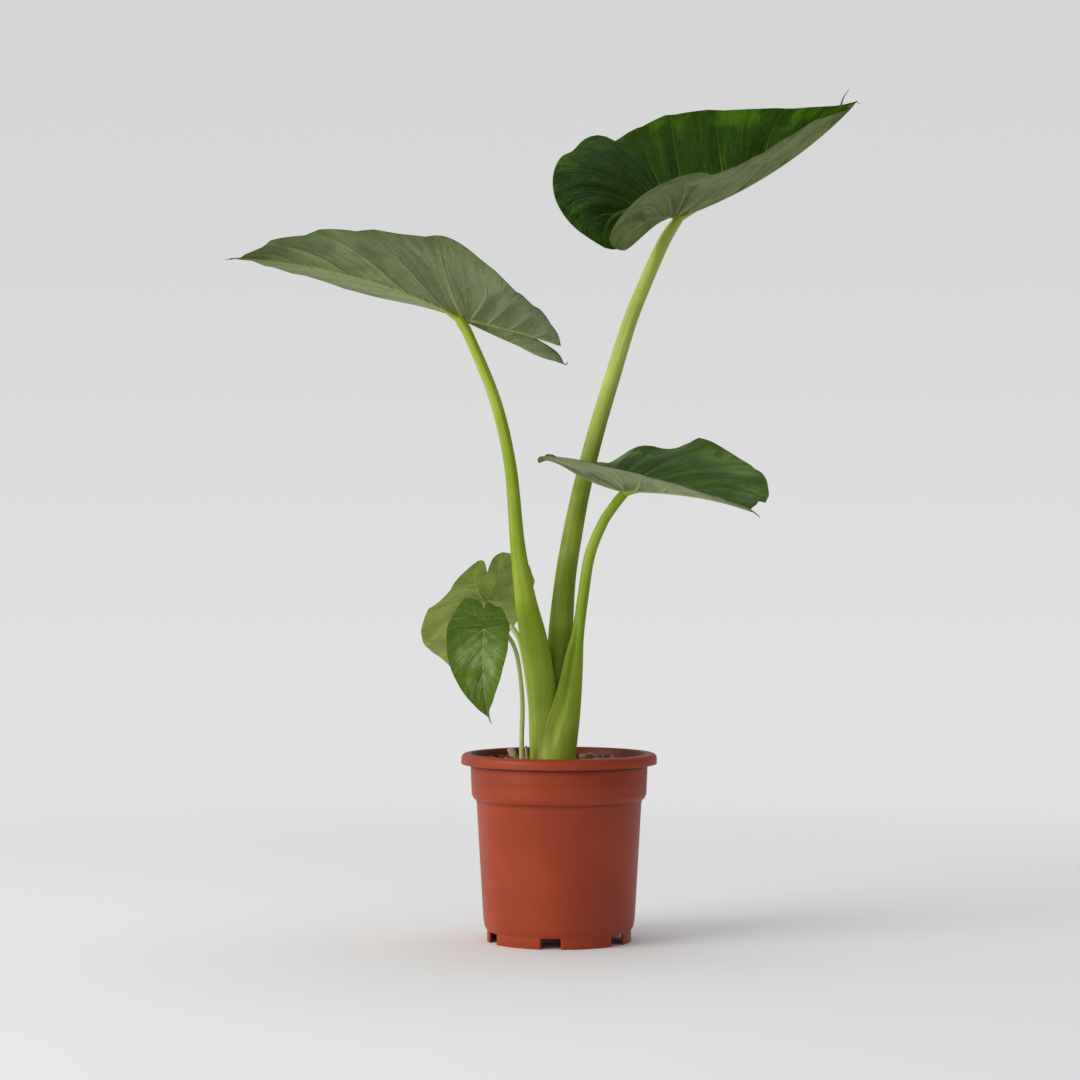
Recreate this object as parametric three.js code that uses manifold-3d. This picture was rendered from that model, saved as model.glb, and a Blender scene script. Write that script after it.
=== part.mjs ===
// Potted alocasia: five arrow-shaped leaves on sheathing stalks, growing from a corm in a nursery pot.
// Millimetres, +Z up. The origin is on the floor under the pot's axis, and the front looks along -Y.

import * as THREE from "three";
import { mergeVertices } from "three/addons/utils/BufferGeometryUtils.js";
import Module from "manifold-3d";

const wasm = await Module();
wasm.setup();

const { degToRad, lerp, clamp } = THREE.MathUtils;

// ---------------------------------------------------------------- driving dimensions

const GAP = 0.35; // left between pieces that touch

// Pot: heights and outer radii of its moulded wall.
const POT_HEIGHT = 182;
const RIM_RADIUS = 95;
const RIM_DEPTH = 10; // the skirt of the rolled rim
const RIM_SKIRT = 1.7; // its thickness
const NECK_RADIUS = 86; // straight part under the rim
const STEP_HEIGHT = 140; // the rounded step between neck and body
const BODY_TOP_RADIUS = 80;
const BODY_FOOT_RADIUS = 73.8;
const FOOT_RADIUS = 70; // outside of the ring that the pot stands on
const FOOT_HEIGHT = 13;
const FOOT_THICKNESS = 2.2;
const WALL = 1.4;
const BASE_UNDERSIDE = 11.5;
const POT_SIDES = 48;
const NOTCHES = 6; // drainage notches in the foot ring
const NOTCH_WIDTH = 18.6;
const NOTCH_HEIGHT = 10.5;
const FIRST_NOTCH = -97; // degrees from +X, so the first one faces forward and a little left
const DRAIN_RADIUS = 5;
const DRAIN_CIRCLE = 55;

// Soil: coarse bark, a little below the rim.
const SOIL_LEVEL = 170;
const SOIL_SIDES = 36;
const BARK_LUMPS = 70;

// Corm: the thick underground stem. The big stalks stand on its flat top.
const CORM_AXIS = [-6, 2];
const CORM_TOP = 124;
const CORM_RADIUS = 37;
const ROOTS = 9;

// Leaf blades.
const BLADE_THICKNESS = 0.9;
const PUFF = 2.2; // how far the blade swells between two veins

const POT_COLOUR = 0x9c4630;
const SOIL_COLOUR = 0x4a2c1c;
const CORM_COLOUR = 0x8a6f4e;
const STALK_COLOUR = 0x86a03a;
const YOUNG_STALK_COLOUR = 0xa9b763;
const DRY_COLOUR = 0xc2b48a;
const BLADE_COLOUR = 0x4f7a33;
const YOUNG_BLADE_COLOUR = 0x6b8a3a;

// The outline of half a flat blade. The first number runs along the midrib: 1 at the tip, 0 at the
// stalk and -1 at the end of the basal lobe. The second runs across, in half widths.
const HALF_OUTLINE = curve2D([
  [1, 0],
  [0.94, 0.055],
  [0.82, 0.26],
  [0.62, 0.58],
  [0.38, 0.84],
  [0.12, 0.98],
  [-0.26, 1],
  [-0.66, 0.86],
  [-0.93, 0.62],
  [-1, 0.4],
]);
const LOBE_END = new THREE.Vector2(-1, 0.4);
const LOBE_RIB = new THREE.QuadraticBezierCurve(
  new THREE.Vector2(0, 0),
  new THREE.Vector2(-0.43, 0.28),
  LOBE_END,
);
const SINUS = curve2D([
  [0, 0],
  [-0.26, 0.04],
  [-0.64, 0.09],
  [-0.93, 0.22],
  [-1, 0.4],
]);
const MIDRIB_SHARE = 0.53; // the share of the veins that leave the midrib, the rest leave the lobe rib

// Each leaf: where its blade meets the stalk, its length from there to the tip, its half width and
// lobe as shares of that length, and the pose of its midrib in degrees. Per half, left and right of
// the midrib seen from above towards the tip, come the fold up from the flat at stalk, tip and lobe,
// and the ripple: how far the margin rises at nine even stations from the tip to the lobe end.
const LEAVES = {
  left: {
    root: [-92, -30, 603],
    length: 243,
    halfWidth: 0.57,
    lobe: 0.42,
    heading: 194,
    turn: 18,
    pitch: 26,
    tipBend: -29,
    lobeBend: 4,
    roll: 9,
    twist: 13,
    sinus: 1.15,
    halves: {
      left: { fold: [2, 12, 17], ripple: [1, 2, -2, -6, 4, -3, -2, 3, 1] },
      right: { fold: [17, 21, -3], ripple: [1, 1, -0.5, -2.5, -6, -0.5, 3, -2, 0] },
    },
    rib: 2.6,
    veins: 10,
    young: false,
  },
  tall: {
    root: [117, 75, 712],
    length: 226,
    halfWidth: 0.6,
    lobe: 0.3,
    heading: 16,
    turn: -10,
    pitch: 19,
    tipBend: 27,
    lobeBend: -58,
    roll: 10,
    twist: 6,
    sinus: 1,
    halves: {
      left: { fold: [31, 57, 114], ripple: [4, -1, -4, 0, 7, 4, -19, -18, -4] },
      right: { fold: [20, 33, 54], ripple: [0, 1, 3.5, 3, 2, 2, -11, -14, -4] },
    },
    rib: 2.6,
    veins: 10,
    young: false,
  },
  right: {
    root: [63, 0, 438],
    length: 210,
    halfWidth: 0.55,
    lobe: 0.36,
    heading: -47,
    turn: -19,
    pitch: -1,
    tipBend: -11,
    lobeBend: 31,
    roll: -9,
    twist: -5,
    sinus: 1.6,
    halves: {
      left: { fold: [35, 8, 17], ripple: [0, 4, -3, 0, -5, 2, 0, 9, -6] },
      right: { fold: [8, -3, 15], ripple: [2, 3, 3, 0, -2, -3, -5, -6, -4] },
    },
    rib: 2.4,
    veins: 9,
    young: false,
  },
  small_front: {
    root: [-72, -60, 304],
    length: 101,
    halfWidth: 0.36,
    lobe: 0.28,
    heading: -97,
    turn: 25,
    pitch: -69,
    tipBend: 25,
    lobeBend: 44,
    roll: 8,
    twist: 3,
    sinus: 0.06,
    halves: {
      left: { fold: [33, 45, 22], ripple: [4, 2, 1, 0, -1, -2, -1, 4, -1] },
      right: { fold: [2, 16, -6], ripple: [-1, -2, -2, -1, -1, -1, -1, 1, 2] },
    },
    rib: 1.2,
    veins: 6,
    young: true,
  },
  small_back: {
    root: [-74, 55, 329],
    length: 119,
    halfWidth: 0.57,
    lobe: 0.4,
    heading: 105,
    turn: 0,
    pitch: -58,
    tipBend: 15,
    lobeBend: 20,
    roll: -5,
    twist: 7,
    sinus: 0.06,
    halves: {
      left: { fold: [-15, 29, -41], ripple: [0, 1, 3, -1, -1, 1, -2, 1, 0] },
      right: { fold: [25, 37, 33], ripple: [0, 0, 0, 0, 3, 0, 2, 1, -1] },
    },
    rib: 1.3,
    veins: 6,
    young: true,
  },
};

// Each stalk from the corm up: x, y, z, half width across the view and half depth along it. The lower
// stations are the sheaths, which wrap each other: the tall stalk is the innermost.
const STALKS = {
  tall: [
    [-5, 6, CORM_TOP, 11, 11],
    [-3, 7, 178, 11, 11],
    [0, 11, 243, 12.2, 10.5],
    [1.5, 15, 291, 12.2, 10.5],
    [6, 22, 349, 10.3, 9.8],
    [13.9, 29, 396, 9.6, 9.2],
    [23.3, 36, 443, 8.8, 8.6],
    [35.8, 43, 491, 8.2, 8],
    [64.2, 57, 586, 7.4, 7.2],
    [81.8, 64, 634, 6.8, 6.8],
    [103.3, 71, 683, 6.2, 6.4],
    [116, 75, 711, 6.8, 6.4],
  ],
  left: [
    [-9, 2, CORM_TOP, 15, 13],
    [-11.7, 0, 178, 16.5, 14],
    [-16.6, -2, 243, 14.3, 11.5],
    [-24.4, -5, 292, 13.2, 9.5],
    [-32.6, -8, 331, 10.4, 8.2],
    [-39.6, -12, 380, 7.4, 7],
    [-46.9, -18, 458, 6, 6],
    [-60, -23, 519, 5.6, 5.6],
    [-84.4, -29, 580, 5, 5],
    [-93, -30, 602, 6, 5.6],
  ],
  right: [
    [-3, -6, CORM_TOP, 17, 11],
    [-3, -8, 174, 19.2, 13],
    [2, -8, 197, 16.2, 12],
    [5.8, -8, 215, 14.2, 10.8],
    [10.6, -8, 244, 11.4, 9],
    [14.6, -6, 273, 8.8, 7.4],
    [18.4, -4, 297, 6, 6],
    [22.8, -2, 331, 5.4, 5.4],
    [29.6, -1, 373, 5.3, 5.3],
    [42, 0, 404, 4.9, 5],
    [52, 0, 420, 4.7, 4.7],
    [67, -3, 434, 4.6, 4.6],
  ],
  small_front: [
    [-31, -17, 104, 2.6, 2.6],
    [-36, -22, 178, 2.4, 2.4],
    [-35.6, -24, 229, 2.3, 2.3],
    [-37.9, -28, 261, 2.1, 2.1],
    [-42, -34, 283, 2.1, 2.1],
    [-50, -42, 298, 2.1, 2.1],
    [-61, -52, 305, 2, 2],
    [-71, -59, 305, 2.2, 2.2],
  ],
  small_back: [
    [-20, 28, 104, 2.8, 2.8],
    [-22.4, 28, 174, 2.7, 2.7],
    [-28.3, 29, 232, 2.6, 2.6],
    [-36.2, 31, 283, 2.5, 2.5],
    [-45, 36, 302, 2.5, 2.5],
    [-58, 45, 318, 2.4, 2.4],
    [-73, 55, 327, 2.6, 2.6],
  ],
};

// Dry stubs of old stalks, rooted on the corm's shoulder.
const STUBS = {
  left: [
    [-34, 2, 108, 3.2, 3],
    [-38, -4, 150, 3.2, 3],
    [-42, -7, 172, 3.4, 2.6],
    [-47, -8, 187, 3.8, 1.8],
  ],
  mid: [
    [-23, -25, 108, 1.6, 1.6],
    [-28, -19, 150, 1.6, 1.6],
    [-31, -15, 176, 1.6, 1.4],
    [-32, -16, 190, 1, 0.8],
  ],
};

// ---------------------------------------------------------------- helpers

function curve2D(points) {
  return new THREE.SplineCurve(points.map(([x, y]) => new THREE.Vector2(x, y)));
}

// A value that passes smoothly through the listed ones, from the first at 0 to the last at 1.
function smoothValue(values, t) {
  return curve2D(values.map((value, i) => [i, value])).getPoint(clamp(t, 0, 1)).y;
}

// A repeatable stream of numbers from 0 to 1.
function seeded(seed) {
  let state = seed;
  return () => {
    state = (state * 1664525 + 1013904223) % 4294967296;
    return state / 4294967296;
  };
}

// A closed three.js geometry as a solid that can be joined or cut.
function solidOf(geometry) {
  const bare = new THREE.BufferGeometry();
  bare.setAttribute("position", geometry.getAttribute("position"));
  bare.setIndex(geometry.getIndex());
  const merged = mergeVertices(bare, 1e-4);
  const corners = merged.index.array;
  const kept = [];
  for (let i = 0; i < corners.length; i += 3) {
    const [a, b, c] = [corners[i], corners[i + 1], corners[i + 2]];
    if (a !== b && b !== c && c !== a) kept.push(a, b, c);
  }
  return new wasm.Manifold(
    new wasm.Mesh({
      numProp: 3,
      vertProperties: merged.attributes.position.array,
      triVerts: new Uint32Array(kept),
    }),
  );
}

function geometryOf(solid) {
  const mesh = solid.getMesh();
  const geometry = new THREE.BufferGeometry();
  const positions = new Float32Array(mesh.numVert * 3);
  for (let i = 0; i < mesh.numVert; i++) {
    positions.set(mesh.vertProperties.subarray(i * mesh.numProp, i * mesh.numProp + 3), i * 3);
  }
  geometry.setAttribute("position", new THREE.BufferAttribute(positions, 3));
  geometry.setIndex(new THREE.BufferAttribute(mesh.triVerts, 1));
  return geometry;
}

// The biggest body of a solid, without the scraps that a cut leaves.
function withoutScraps(solid) {
  return solid.decompose().sort((a, b) => b.volume() - a.volume())[0];
}

// A profile of [radius, height] pairs, turned round the Z axis.
function turned(profile, sides) {
  const points = profile.map(([r, z]) => new THREE.Vector2(r, z));
  return new THREE.LatheGeometry(points, sides).rotateX(Math.PI / 2);
}

// ---------------------------------------------------------------- leaf blades

// Position and directions of the midrib at a: 1 at the tip, 0 at the stalk, -1 at the lobe end.
function midribFrame(leaf, a) {
  const reach = leaf.length * (a < 0 ? leaf.lobe : 1);
  const bend = a < 0 ? leaf.lobeBend : leaf.tipBend;
  const along = (t) => {
    const heading = degToRad(leaf.heading + leaf.turn * t);
    const pitch = degToRad(leaf.pitch + bend * t);
    return new THREE.Vector3(
      Math.cos(heading) * Math.cos(pitch),
      Math.sin(heading) * Math.cos(pitch),
      Math.sin(pitch),
    );
  };
  const origin = new THREE.Vector3(...leaf.root);
  const steps = 24;
  for (let i = 0; i < steps; i++) {
    origin.addScaledVector(along((a * (i + 0.5)) / steps), (reach * a) / steps);
  }
  const heading = degToRad(leaf.heading + leaf.turn * a);
  const tangent = along(a);
  const roll = degToRad(leaf.roll + leaf.twist * a);
  const level = new THREE.Vector3(-Math.sin(heading), Math.cos(heading), 0);
  const upright = new THREE.Vector3().crossVectors(tangent, level);
  const left = level.clone().multiplyScalar(Math.cos(roll)).addScaledVector(upright, Math.sin(roll));
  const up = upright.multiplyScalar(Math.cos(roll)).addScaledVector(level, -Math.sin(roll));
  return { origin, tangent, left, up };
}

// The point of the flat half blade at station s from tip to lobe end, a share r of the way from the
// ribs to the margin, or to the sinus between the lobes.
function flatPoint(leaf, panel, s, r) {
  const lobeShare = clamp((s - MIDRIB_SHARE) / (1 - MIDRIB_SHARE), 0, 1) ** 1.1;
  let rib;
  let edge;
  if (panel === "sinus") {
    rib = LOBE_RIB.getPoint(s);
    edge = SINUS.getPoint(s);
    edge.y = lerp(edge.y, edge.y * leaf.sinus, Math.sin(Math.PI * s));
  } else {
    rib = s <= MIDRIB_SHARE ? new THREE.Vector2(1 - (s / MIDRIB_SHARE) ** 1.6, 0) : LOBE_RIB.getPoint(lobeShare);
    edge = HALF_OUTLINE.getPoint(s);
  }
  const point = rib.clone().lerp(edge, r);
  point.x -= 0.07 * r * (1 - r) * Math.abs(edge.y - rib.y);
  return point;
}

// How much the blade swells at station s, nothing on a vein and most between two veins.
function swelling(leaf, s, r) {
  return Math.sin(Math.PI * s * leaf.veins) ** 2 * Math.sin(Math.PI * Math.min(1, r * 1.15)) ** 1.5;
}

function bladePoint(leaf, side, panel, s, r) {
  const half = side > 0 ? leaf.halves.left : leaf.halves.right;
  const flat = flatPoint(leaf, panel, s, r);
  const frame = midribFrame(leaf, flat.x);
  const [foldRoot, foldTip, foldLobe] = half.fold;
  const fold = degToRad(
    flat.x < 0 ? lerp(foldRoot, foldLobe, -flat.x) : lerp(foldRoot, foldTip, flat.x ** 1.3),
  );
  const out = flat.y * leaf.halfWidth * leaf.length;
  const point = frame.origin
    .addScaledVector(frame.left, side * out * Math.cos(fold))
    .addScaledVector(frame.up, out * Math.sin(fold));
  if (panel === "outer") {
    const normal = frame.up.multiplyScalar(Math.cos(fold)).addScaledVector(frame.left, -side * Math.sin(fold));
    point.addScaledVector(normal, (PUFF * leaf.length * swelling(leaf, s, r)) / 240);
    point.z += smoothValue([0, ...half.ripple, 0], s) * r * r;
  }
  return point;
}

// How far a rib or vein stands out of the underside.
function ribHeight(leaf, panel, s, r) {
  const alongMidrib = s < MIDRIB_SHARE ? (s / MIDRIB_SHARE) ** 0.7 : lerp(1, 0.15, (s - MIDRIB_SHARE) / 0.47);
  if (r === 0) return leaf.rib * (panel === "sinus" ? lerp(1, 0.15, s) : alongMidrib);
  if (panel === "sinus") return 0;
  const onVein = Math.abs(s * leaf.veins - Math.round(s * leaf.veins)) < 0.01;
  return onVein ? 0.5 * leaf.rib * alongMidrib * (1 - r) ** 0.8 : 0;
}

// Stations of one half: each vein has a crest with a foot on both sides, and a middle between veins.
function veinStations(leaf) {
  const foot = 0.14 / leaf.veins;
  const stations = [0];
  for (let vein = 1; vein < leaf.veins; vein++) {
    const crest = vein / leaf.veins;
    stations.push(crest - 0.5 / leaf.veins, crest - foot, crest, crest + foot);
  }
  stations.push(1 - 0.5 / leaf.veins, 1);
  return stations;
}

const ACROSS_BLADE = [0, 0.09, 0.4, 0.75, 1];
const ACROSS_YOUNG = [0, 0.12, 0.5, 1];
const ACROSS_LOBE = [0, 0.5, 1];

// The blade as one sheet of triangles, with the underside's extra depth at each vertex.
function bladeSheet(leaf) {
  const vertices = [];
  const depths = [];
  const triangles = [];
  const known = new Map();
  const vertexAt = (side, panel, s, r) => {
    const point = bladePoint(leaf, side, panel, s, r);
    const key = point.toArray().map((v) => Math.round(v * 50)).join();
    if (!known.has(key)) {
      known.set(key, vertices.length);
      vertices.push(point);
      depths.push(ribHeight(leaf, panel, s, r));
    }
    return known.get(key);
  };
  const addTriangle = (a, b, c, turnedOver) => {
    if (a === b || b === c || c === a) return;
    triangles.push(turnedOver ? [a, c, b] : [a, b, c]);
  };
  const addPanel = (side, panel, stations, across) => {
    const grid = stations.map((s) => across.map((r) => vertexAt(side, panel, s, r)));
    const turnedOver = side > 0 !== (panel === "sinus");
    for (let i = 0; i + 1 < stations.length; i++) {
      for (let j = 0; j + 1 < across.length; j++) {
        const [a, b, c, d] = [grid[i][j], grid[i + 1][j], grid[i + 1][j + 1], grid[i][j + 1]];
        addTriangle(a, b, c, turnedOver);
        addTriangle(a, c, d, turnedOver);
      }
    }
  };
  const outer = veinStations(leaf);
  const lobe = outer.filter((s) => s > MIDRIB_SHARE);
  const lobeStations = [0, ...lobe.map((s) => ((s - MIDRIB_SHARE) / (1 - MIDRIB_SHARE)) ** 1.1)];
  for (const side of [1, -1]) {
    addPanel(side, "outer", [...outer.filter((s) => s < MIDRIB_SHARE), MIDRIB_SHARE, ...lobe],
      leaf.young ? ACROSS_YOUNG : ACROSS_BLADE);
    addPanel(side, "sinus", lobeStations, ACROSS_LOBE);
  }
  return { vertices, depths, triangles };
}

// The blade as a closed solid: the sheet, its underside and a wall round the margin. Grown by margin,
// it is the cutter that keeps a stalk clear.
function bladeGeometry(leaf, margin = 0) {
  const { vertices, depths, triangles } = bladeSheet(leaf);
  const normals = vertices.map(() => new THREE.Vector3());
  const edges = new Map();
  for (const [a, b, c] of triangles) {
    const normal = new THREE.Vector3()
      .subVectors(vertices[b], vertices[a])
      .cross(new THREE.Vector3().subVectors(vertices[c], vertices[a]));
    for (const v of [a, b, c]) normals[v].add(normal);
    for (const [from, to] of [[a, b], [b, c], [c, a]]) {
      const back = `${to},${from}`;
      if (edges.has(back)) edges.delete(back);
      else edges.set(`${from},${to}`, [from, to]);
    }
  }
  const half = BLADE_THICKNESS / 2 + margin;
  const count = vertices.length;
  const positions = new Float32Array(count * 6);
  vertices.forEach((vertex, i) => {
    normals[i].normalize();
    vertex.clone().addScaledVector(normals[i], half).toArray(positions, i * 3);
    const under = vertex.clone().addScaledVector(normals[i], -half - depths[i]);
    under.toArray(positions, (count + i) * 3);
  });
  const index = [];
  for (const [a, b, c] of triangles) {
    index.push(a, b, c, a + count, c + count, b + count);
  }
  for (const [from, to] of edges.values()) {
    index.push(to, from, from + count, to, from + count, to + count);
  }
  const geometry = new THREE.BufferGeometry();
  geometry.setAttribute("position", new THREE.BufferAttribute(positions, 3));
  geometry.setIndex(index);
  return geometry;
}

// ---------------------------------------------------------------- stalks

// A stem through its stations, with an oval section that widens into the sheath.
function stemGeometry(stations, sides, steps, margin = 0) {
  const path = new THREE.CatmullRomCurve3(stations.map(([x, y, z]) => new THREE.Vector3(x, y, z)));
  const widths = stations.map((station) => station[3]);
  const halfDepths = stations.map((station) => station[4]);
  const positions = [];
  const index = [];
  for (let i = 0; i <= steps; i++) {
    const t = i / steps;
    const centre = path.getPoint(t);
    const tangent = path.getTangent(t);
    if (i === 0) centre.addScaledVector(tangent, -margin);
    if (i === steps) centre.addScaledVector(tangent, margin);
    const wide = new THREE.Vector3(0, 1, 0).cross(tangent).normalize();
    const deep = new THREE.Vector3().crossVectors(tangent, wide);
    for (let j = 0; j < sides; j++) {
      const angle = (2 * Math.PI * j) / sides;
      const point = centre
        .clone()
        .addScaledVector(wide, (smoothValue(widths, t) + margin) * Math.cos(angle))
        .addScaledVector(deep, (smoothValue(halfDepths, t) + margin) * Math.sin(angle));
      positions.push(...point.toArray());
    }
  }
  const ringEnds = [path.getPoint(0), path.getPoint(1)];
  ringEnds[0].addScaledVector(path.getTangent(0), -margin);
  ringEnds[1].addScaledVector(path.getTangent(1), margin);
  positions.push(...ringEnds[0].toArray(), ...ringEnds[1].toArray());
  const bottom = (steps + 1) * sides;
  for (let j = 0; j < sides; j++) {
    const next = (j + 1) % sides;
    for (let i = 0; i < steps; i++) {
      const [a, b] = [i * sides + j, i * sides + next];
      index.push(a, b, b + sides, a, b + sides, a + sides);
    }
    index.push(bottom, next, j);
    index.push(bottom + 1, steps * sides + j, steps * sides + next);
  }
  const geometry = new THREE.BufferGeometry();
  geometry.setAttribute("position", new THREE.Float32BufferAttribute(positions, 3));
  geometry.setIndex(index);
  return geometry;
}

// The space above a blade's midrib at its stalk, which the stalk's top is trimmed out of.
function aboveBlade(leaf) {
  const size = leaf.young ? 12 : 30;
  const frame = midribFrame(leaf, 0);
  const rise = size / 2 - BLADE_THICKNESS / 2 - leaf.rib - GAP;
  const box = new THREE.BoxGeometry(size, size, size);
  box.applyMatrix4(new THREE.Matrix4().makeBasis(frame.tangent, frame.left, frame.up));
  return box.translate(...frame.origin.addScaledVector(frame.up, rise).toArray());
}

// ---------------------------------------------------------------- pot, soil and corm

function potSolid() {
  const stepTop = STEP_HEIGHT + 3.5;
  const stepFoot = STEP_HEIGHT - 3;
  const neckFoot = NECK_RADIUS - 1;
  const inner = (radius) => radius - WALL;
  const webUnderside = POT_HEIGHT - 1.8;
  const footInside = FOOT_RADIUS - FOOT_THICKNESS;
  const profile = [
    [0, BASE_UNDERSIDE],
    [footInside, BASE_UNDERSIDE],
    [footInside, 0],
    [FOOT_RADIUS, 0],
    [FOOT_RADIUS, FOOT_HEIGHT - 2],
    [FOOT_RADIUS + 1.5, FOOT_HEIGHT],
    [FOOT_RADIUS + 2.6, FOOT_HEIGHT + 2.5],
    [BODY_FOOT_RADIUS, FOOT_HEIGHT + 11.5],
    [BODY_TOP_RADIUS, STEP_HEIGHT - 7],
    [BODY_TOP_RADIUS + 0.8, stepFoot],
    [NECK_RADIUS - 3, stepFoot + 1.6],
    [NECK_RADIUS - 1.5, stepTop - 2],
    [neckFoot, stepTop],
    [NECK_RADIUS, POT_HEIGHT - RIM_DEPTH - 2],
    [NECK_RADIUS + 0.2, webUnderside],
    [RIM_RADIUS - RIM_SKIRT, webUnderside],
    [RIM_RADIUS - RIM_SKIRT, POT_HEIGHT - RIM_DEPTH],
    [RIM_RADIUS, POT_HEIGHT - RIM_DEPTH],
    [RIM_RADIUS, POT_HEIGHT - 1.5],
    [RIM_RADIUS - 1, POT_HEIGHT - 0.3],
    [RIM_RADIUS - 2.4, POT_HEIGHT],
    [inner(NECK_RADIUS) + 1.2, POT_HEIGHT],
    [inner(NECK_RADIUS) + 0.2, POT_HEIGHT - 1],
    [inner(NECK_RADIUS), POT_HEIGHT - RIM_DEPTH - 2],
    [inner(neckFoot), stepTop],
    [inner(NECK_RADIUS - 3), stepFoot + 2.4],
    [inner(BODY_TOP_RADIUS + 0.4), stepFoot + 0.6],
    [inner(BODY_TOP_RADIUS), STEP_HEIGHT - 7],
    [inner(BODY_FOOT_RADIUS), FOOT_HEIGHT + 11.5],
    [inner(FOOT_RADIUS + 2.2), FOOT_HEIGHT + 2.5],
    [inner(FOOT_RADIUS + 0.8), FOOT_HEIGHT],
    [0, FOOT_HEIGHT],
  ];
  let pot = solidOf(turned(profile, POT_SIDES));
  for (let i = 0; i < NOTCHES; i++) {
    const angle = degToRad(FIRST_NOTCH + (360 / NOTCHES) * i);
    const notch = new THREE.BoxGeometry(12, NOTCH_WIDTH, NOTCH_HEIGHT * 2);
    notch.translate(FOOT_RADIUS, 0, 0).rotateZ(angle);
    const drain = new THREE.CylinderGeometry(DRAIN_RADIUS, DRAIN_RADIUS, 6, 16);
    drain.rotateX(Math.PI / 2).translate(DRAIN_CIRCLE, 0, FOOT_HEIGHT - 1).rotateZ(angle);
    pot = pot.subtract(solidOf(notch)).subtract(solidOf(drain));
  }
  return pot;
}

// Height of the bark over the soil's level at a place on its top.
function barkHeight(lumps, x, y) {
  let height = 0;
  for (const lump of lumps) {
    const distance = Math.hypot(x - lump.x, y - lump.y) / lump.radius;
    if (distance < 1) height = Math.max(height, lump.height * Math.sqrt(1 - distance * distance));
  }
  return height;
}

function soilSolid() {
  const random = seeded(11);
  const lumps = Array.from({ length: BARK_LUMPS }, () => {
    const angle = 2 * Math.PI * random();
    const distance = 80 * Math.sqrt(random());
    return {
      x: distance * Math.cos(angle),
      y: distance * Math.sin(angle),
      radius: lerp(5, 11, random()),
      height: lerp(2, 6, random()),
    };
  });
  const clear = WALL + GAP;
  const outer = [
    [0, FOOT_HEIGHT + GAP],
    [FOOT_RADIUS + 0.8 - clear, FOOT_HEIGHT + GAP],
    [FOOT_RADIUS + 2 - clear, FOOT_HEIGHT + 2.5],
    [BODY_FOOT_RADIUS - clear, FOOT_HEIGHT + 11.5],
    [BODY_TOP_RADIUS - clear, STEP_HEIGHT - 7],
    [BODY_TOP_RADIUS - clear, STEP_HEIGHT - 1],
    [NECK_RADIUS - 1.5 - clear, STEP_HEIGHT + 4.5],
    [NECK_RADIUS - 0.6 - clear, SOIL_LEVEL - 2],
  ];
  const rings = 9;
  const top = Array.from({ length: rings }, (_, i) => [(84 * (rings - 1 - i)) / rings, SOIL_LEVEL]);
  const geometry = turned([...outer, ...top], SOIL_SIDES);
  const position = geometry.getAttribute("position");
  for (let i = 0; i < position.count; i++) {
    if (position.getZ(i) < SOIL_LEVEL - 0.1) continue;
    position.setZ(i, SOIL_LEVEL + barkHeight(lumps, position.getX(i), position.getY(i)));
  }
  return solidOf(geometry);
}

function cormSolid(margin = 0) {
  const [x, y] = CORM_AXIS;
  const profile = [
    [0, 76 - margin],
    [16 + margin, 80 - margin],
    [28 + margin, 88 - margin],
    [CORM_RADIUS + margin, 102],
    [CORM_RADIUS - 3 + margin, 112],
    [CORM_RADIUS - 8 + margin, CORM_TOP - GAP + margin],
    [0, CORM_TOP - GAP + margin],
  ];
  let corm = solidOf(turned(profile, 20).translate(x, y, 0));
  const random = seeded(5);
  for (let i = 0; i < ROOTS; i++) {
    const angle = degToRad((360 / ROOTS) * (i + 0.5 * random()));
    const [cos, sin] = [Math.cos(angle), Math.sin(angle)];
    const reach = lerp(46, 56, random());
    const drop = lerp(28, 50, random());
    const place = (distance, z, radius) => [x + distance * cos, y + distance * sin, z, radius, radius];
    const root = [
      place(20, 96, 3.6),
      place(reach * 0.72, 88, 3.2),
      place(reach, 78 - drop * 0.3, 2.4),
      place(reach + 2, 78 - drop, 1.4),
    ];
    corm = corm.add(solidOf(stemGeometry(root, 5, 6, margin)));
  }
  return corm;
}

// ---------------------------------------------------------------- assembly

const plant = new THREE.Group();
plant.name = "potted_alocasia";

function addPiece(name, geometry, color, roughness) {
  const material = new THREE.MeshStandardMaterial({ color, roughness, metalness: 0 });
  const mesh = new THREE.Mesh(geometry, material);
  mesh.name = name;
  plant.add(mesh);
}

const SECTION = { tall: [14, 28], left: [14, 28], right: [14, 28], small_front: [8, 18], small_back: [8, 16] };

const stem = (name, margin = 0) => solidOf(stemGeometry(STALKS[name], ...SECTION[name], margin));
const stub = (name, margin = 0) => solidOf(stemGeometry(STUBS[name], 8, 8, margin));

const cormRoom = cormSolid(GAP);
const stemRooms = Object.keys(STALKS).map((name) => stem(name, GAP));
const stubRooms = Object.keys(STUBS).map((name) => stub(name, GAP));

addPiece("pot", geometryOf(potSolid()), POT_COLOUR, 0.45);
addPiece("corm", geometryOf(cormSolid()), CORM_COLOUR, 0.8);

let soil = soilSolid().subtract(cormRoom);
for (const room of [...stemRooms, ...stubRooms]) soil = soil.subtract(room);
addPiece("soil", geometryOf(soil), SOIL_COLOUR, 0.95);

// A sheath is cut by the sheaths inside it, and every stalk by the blade that it carries.
const SHEATHS_INSIDE = { tall: [], left: ["tall"], right: ["tall", "left"], small_front: [], small_back: [] };

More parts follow.
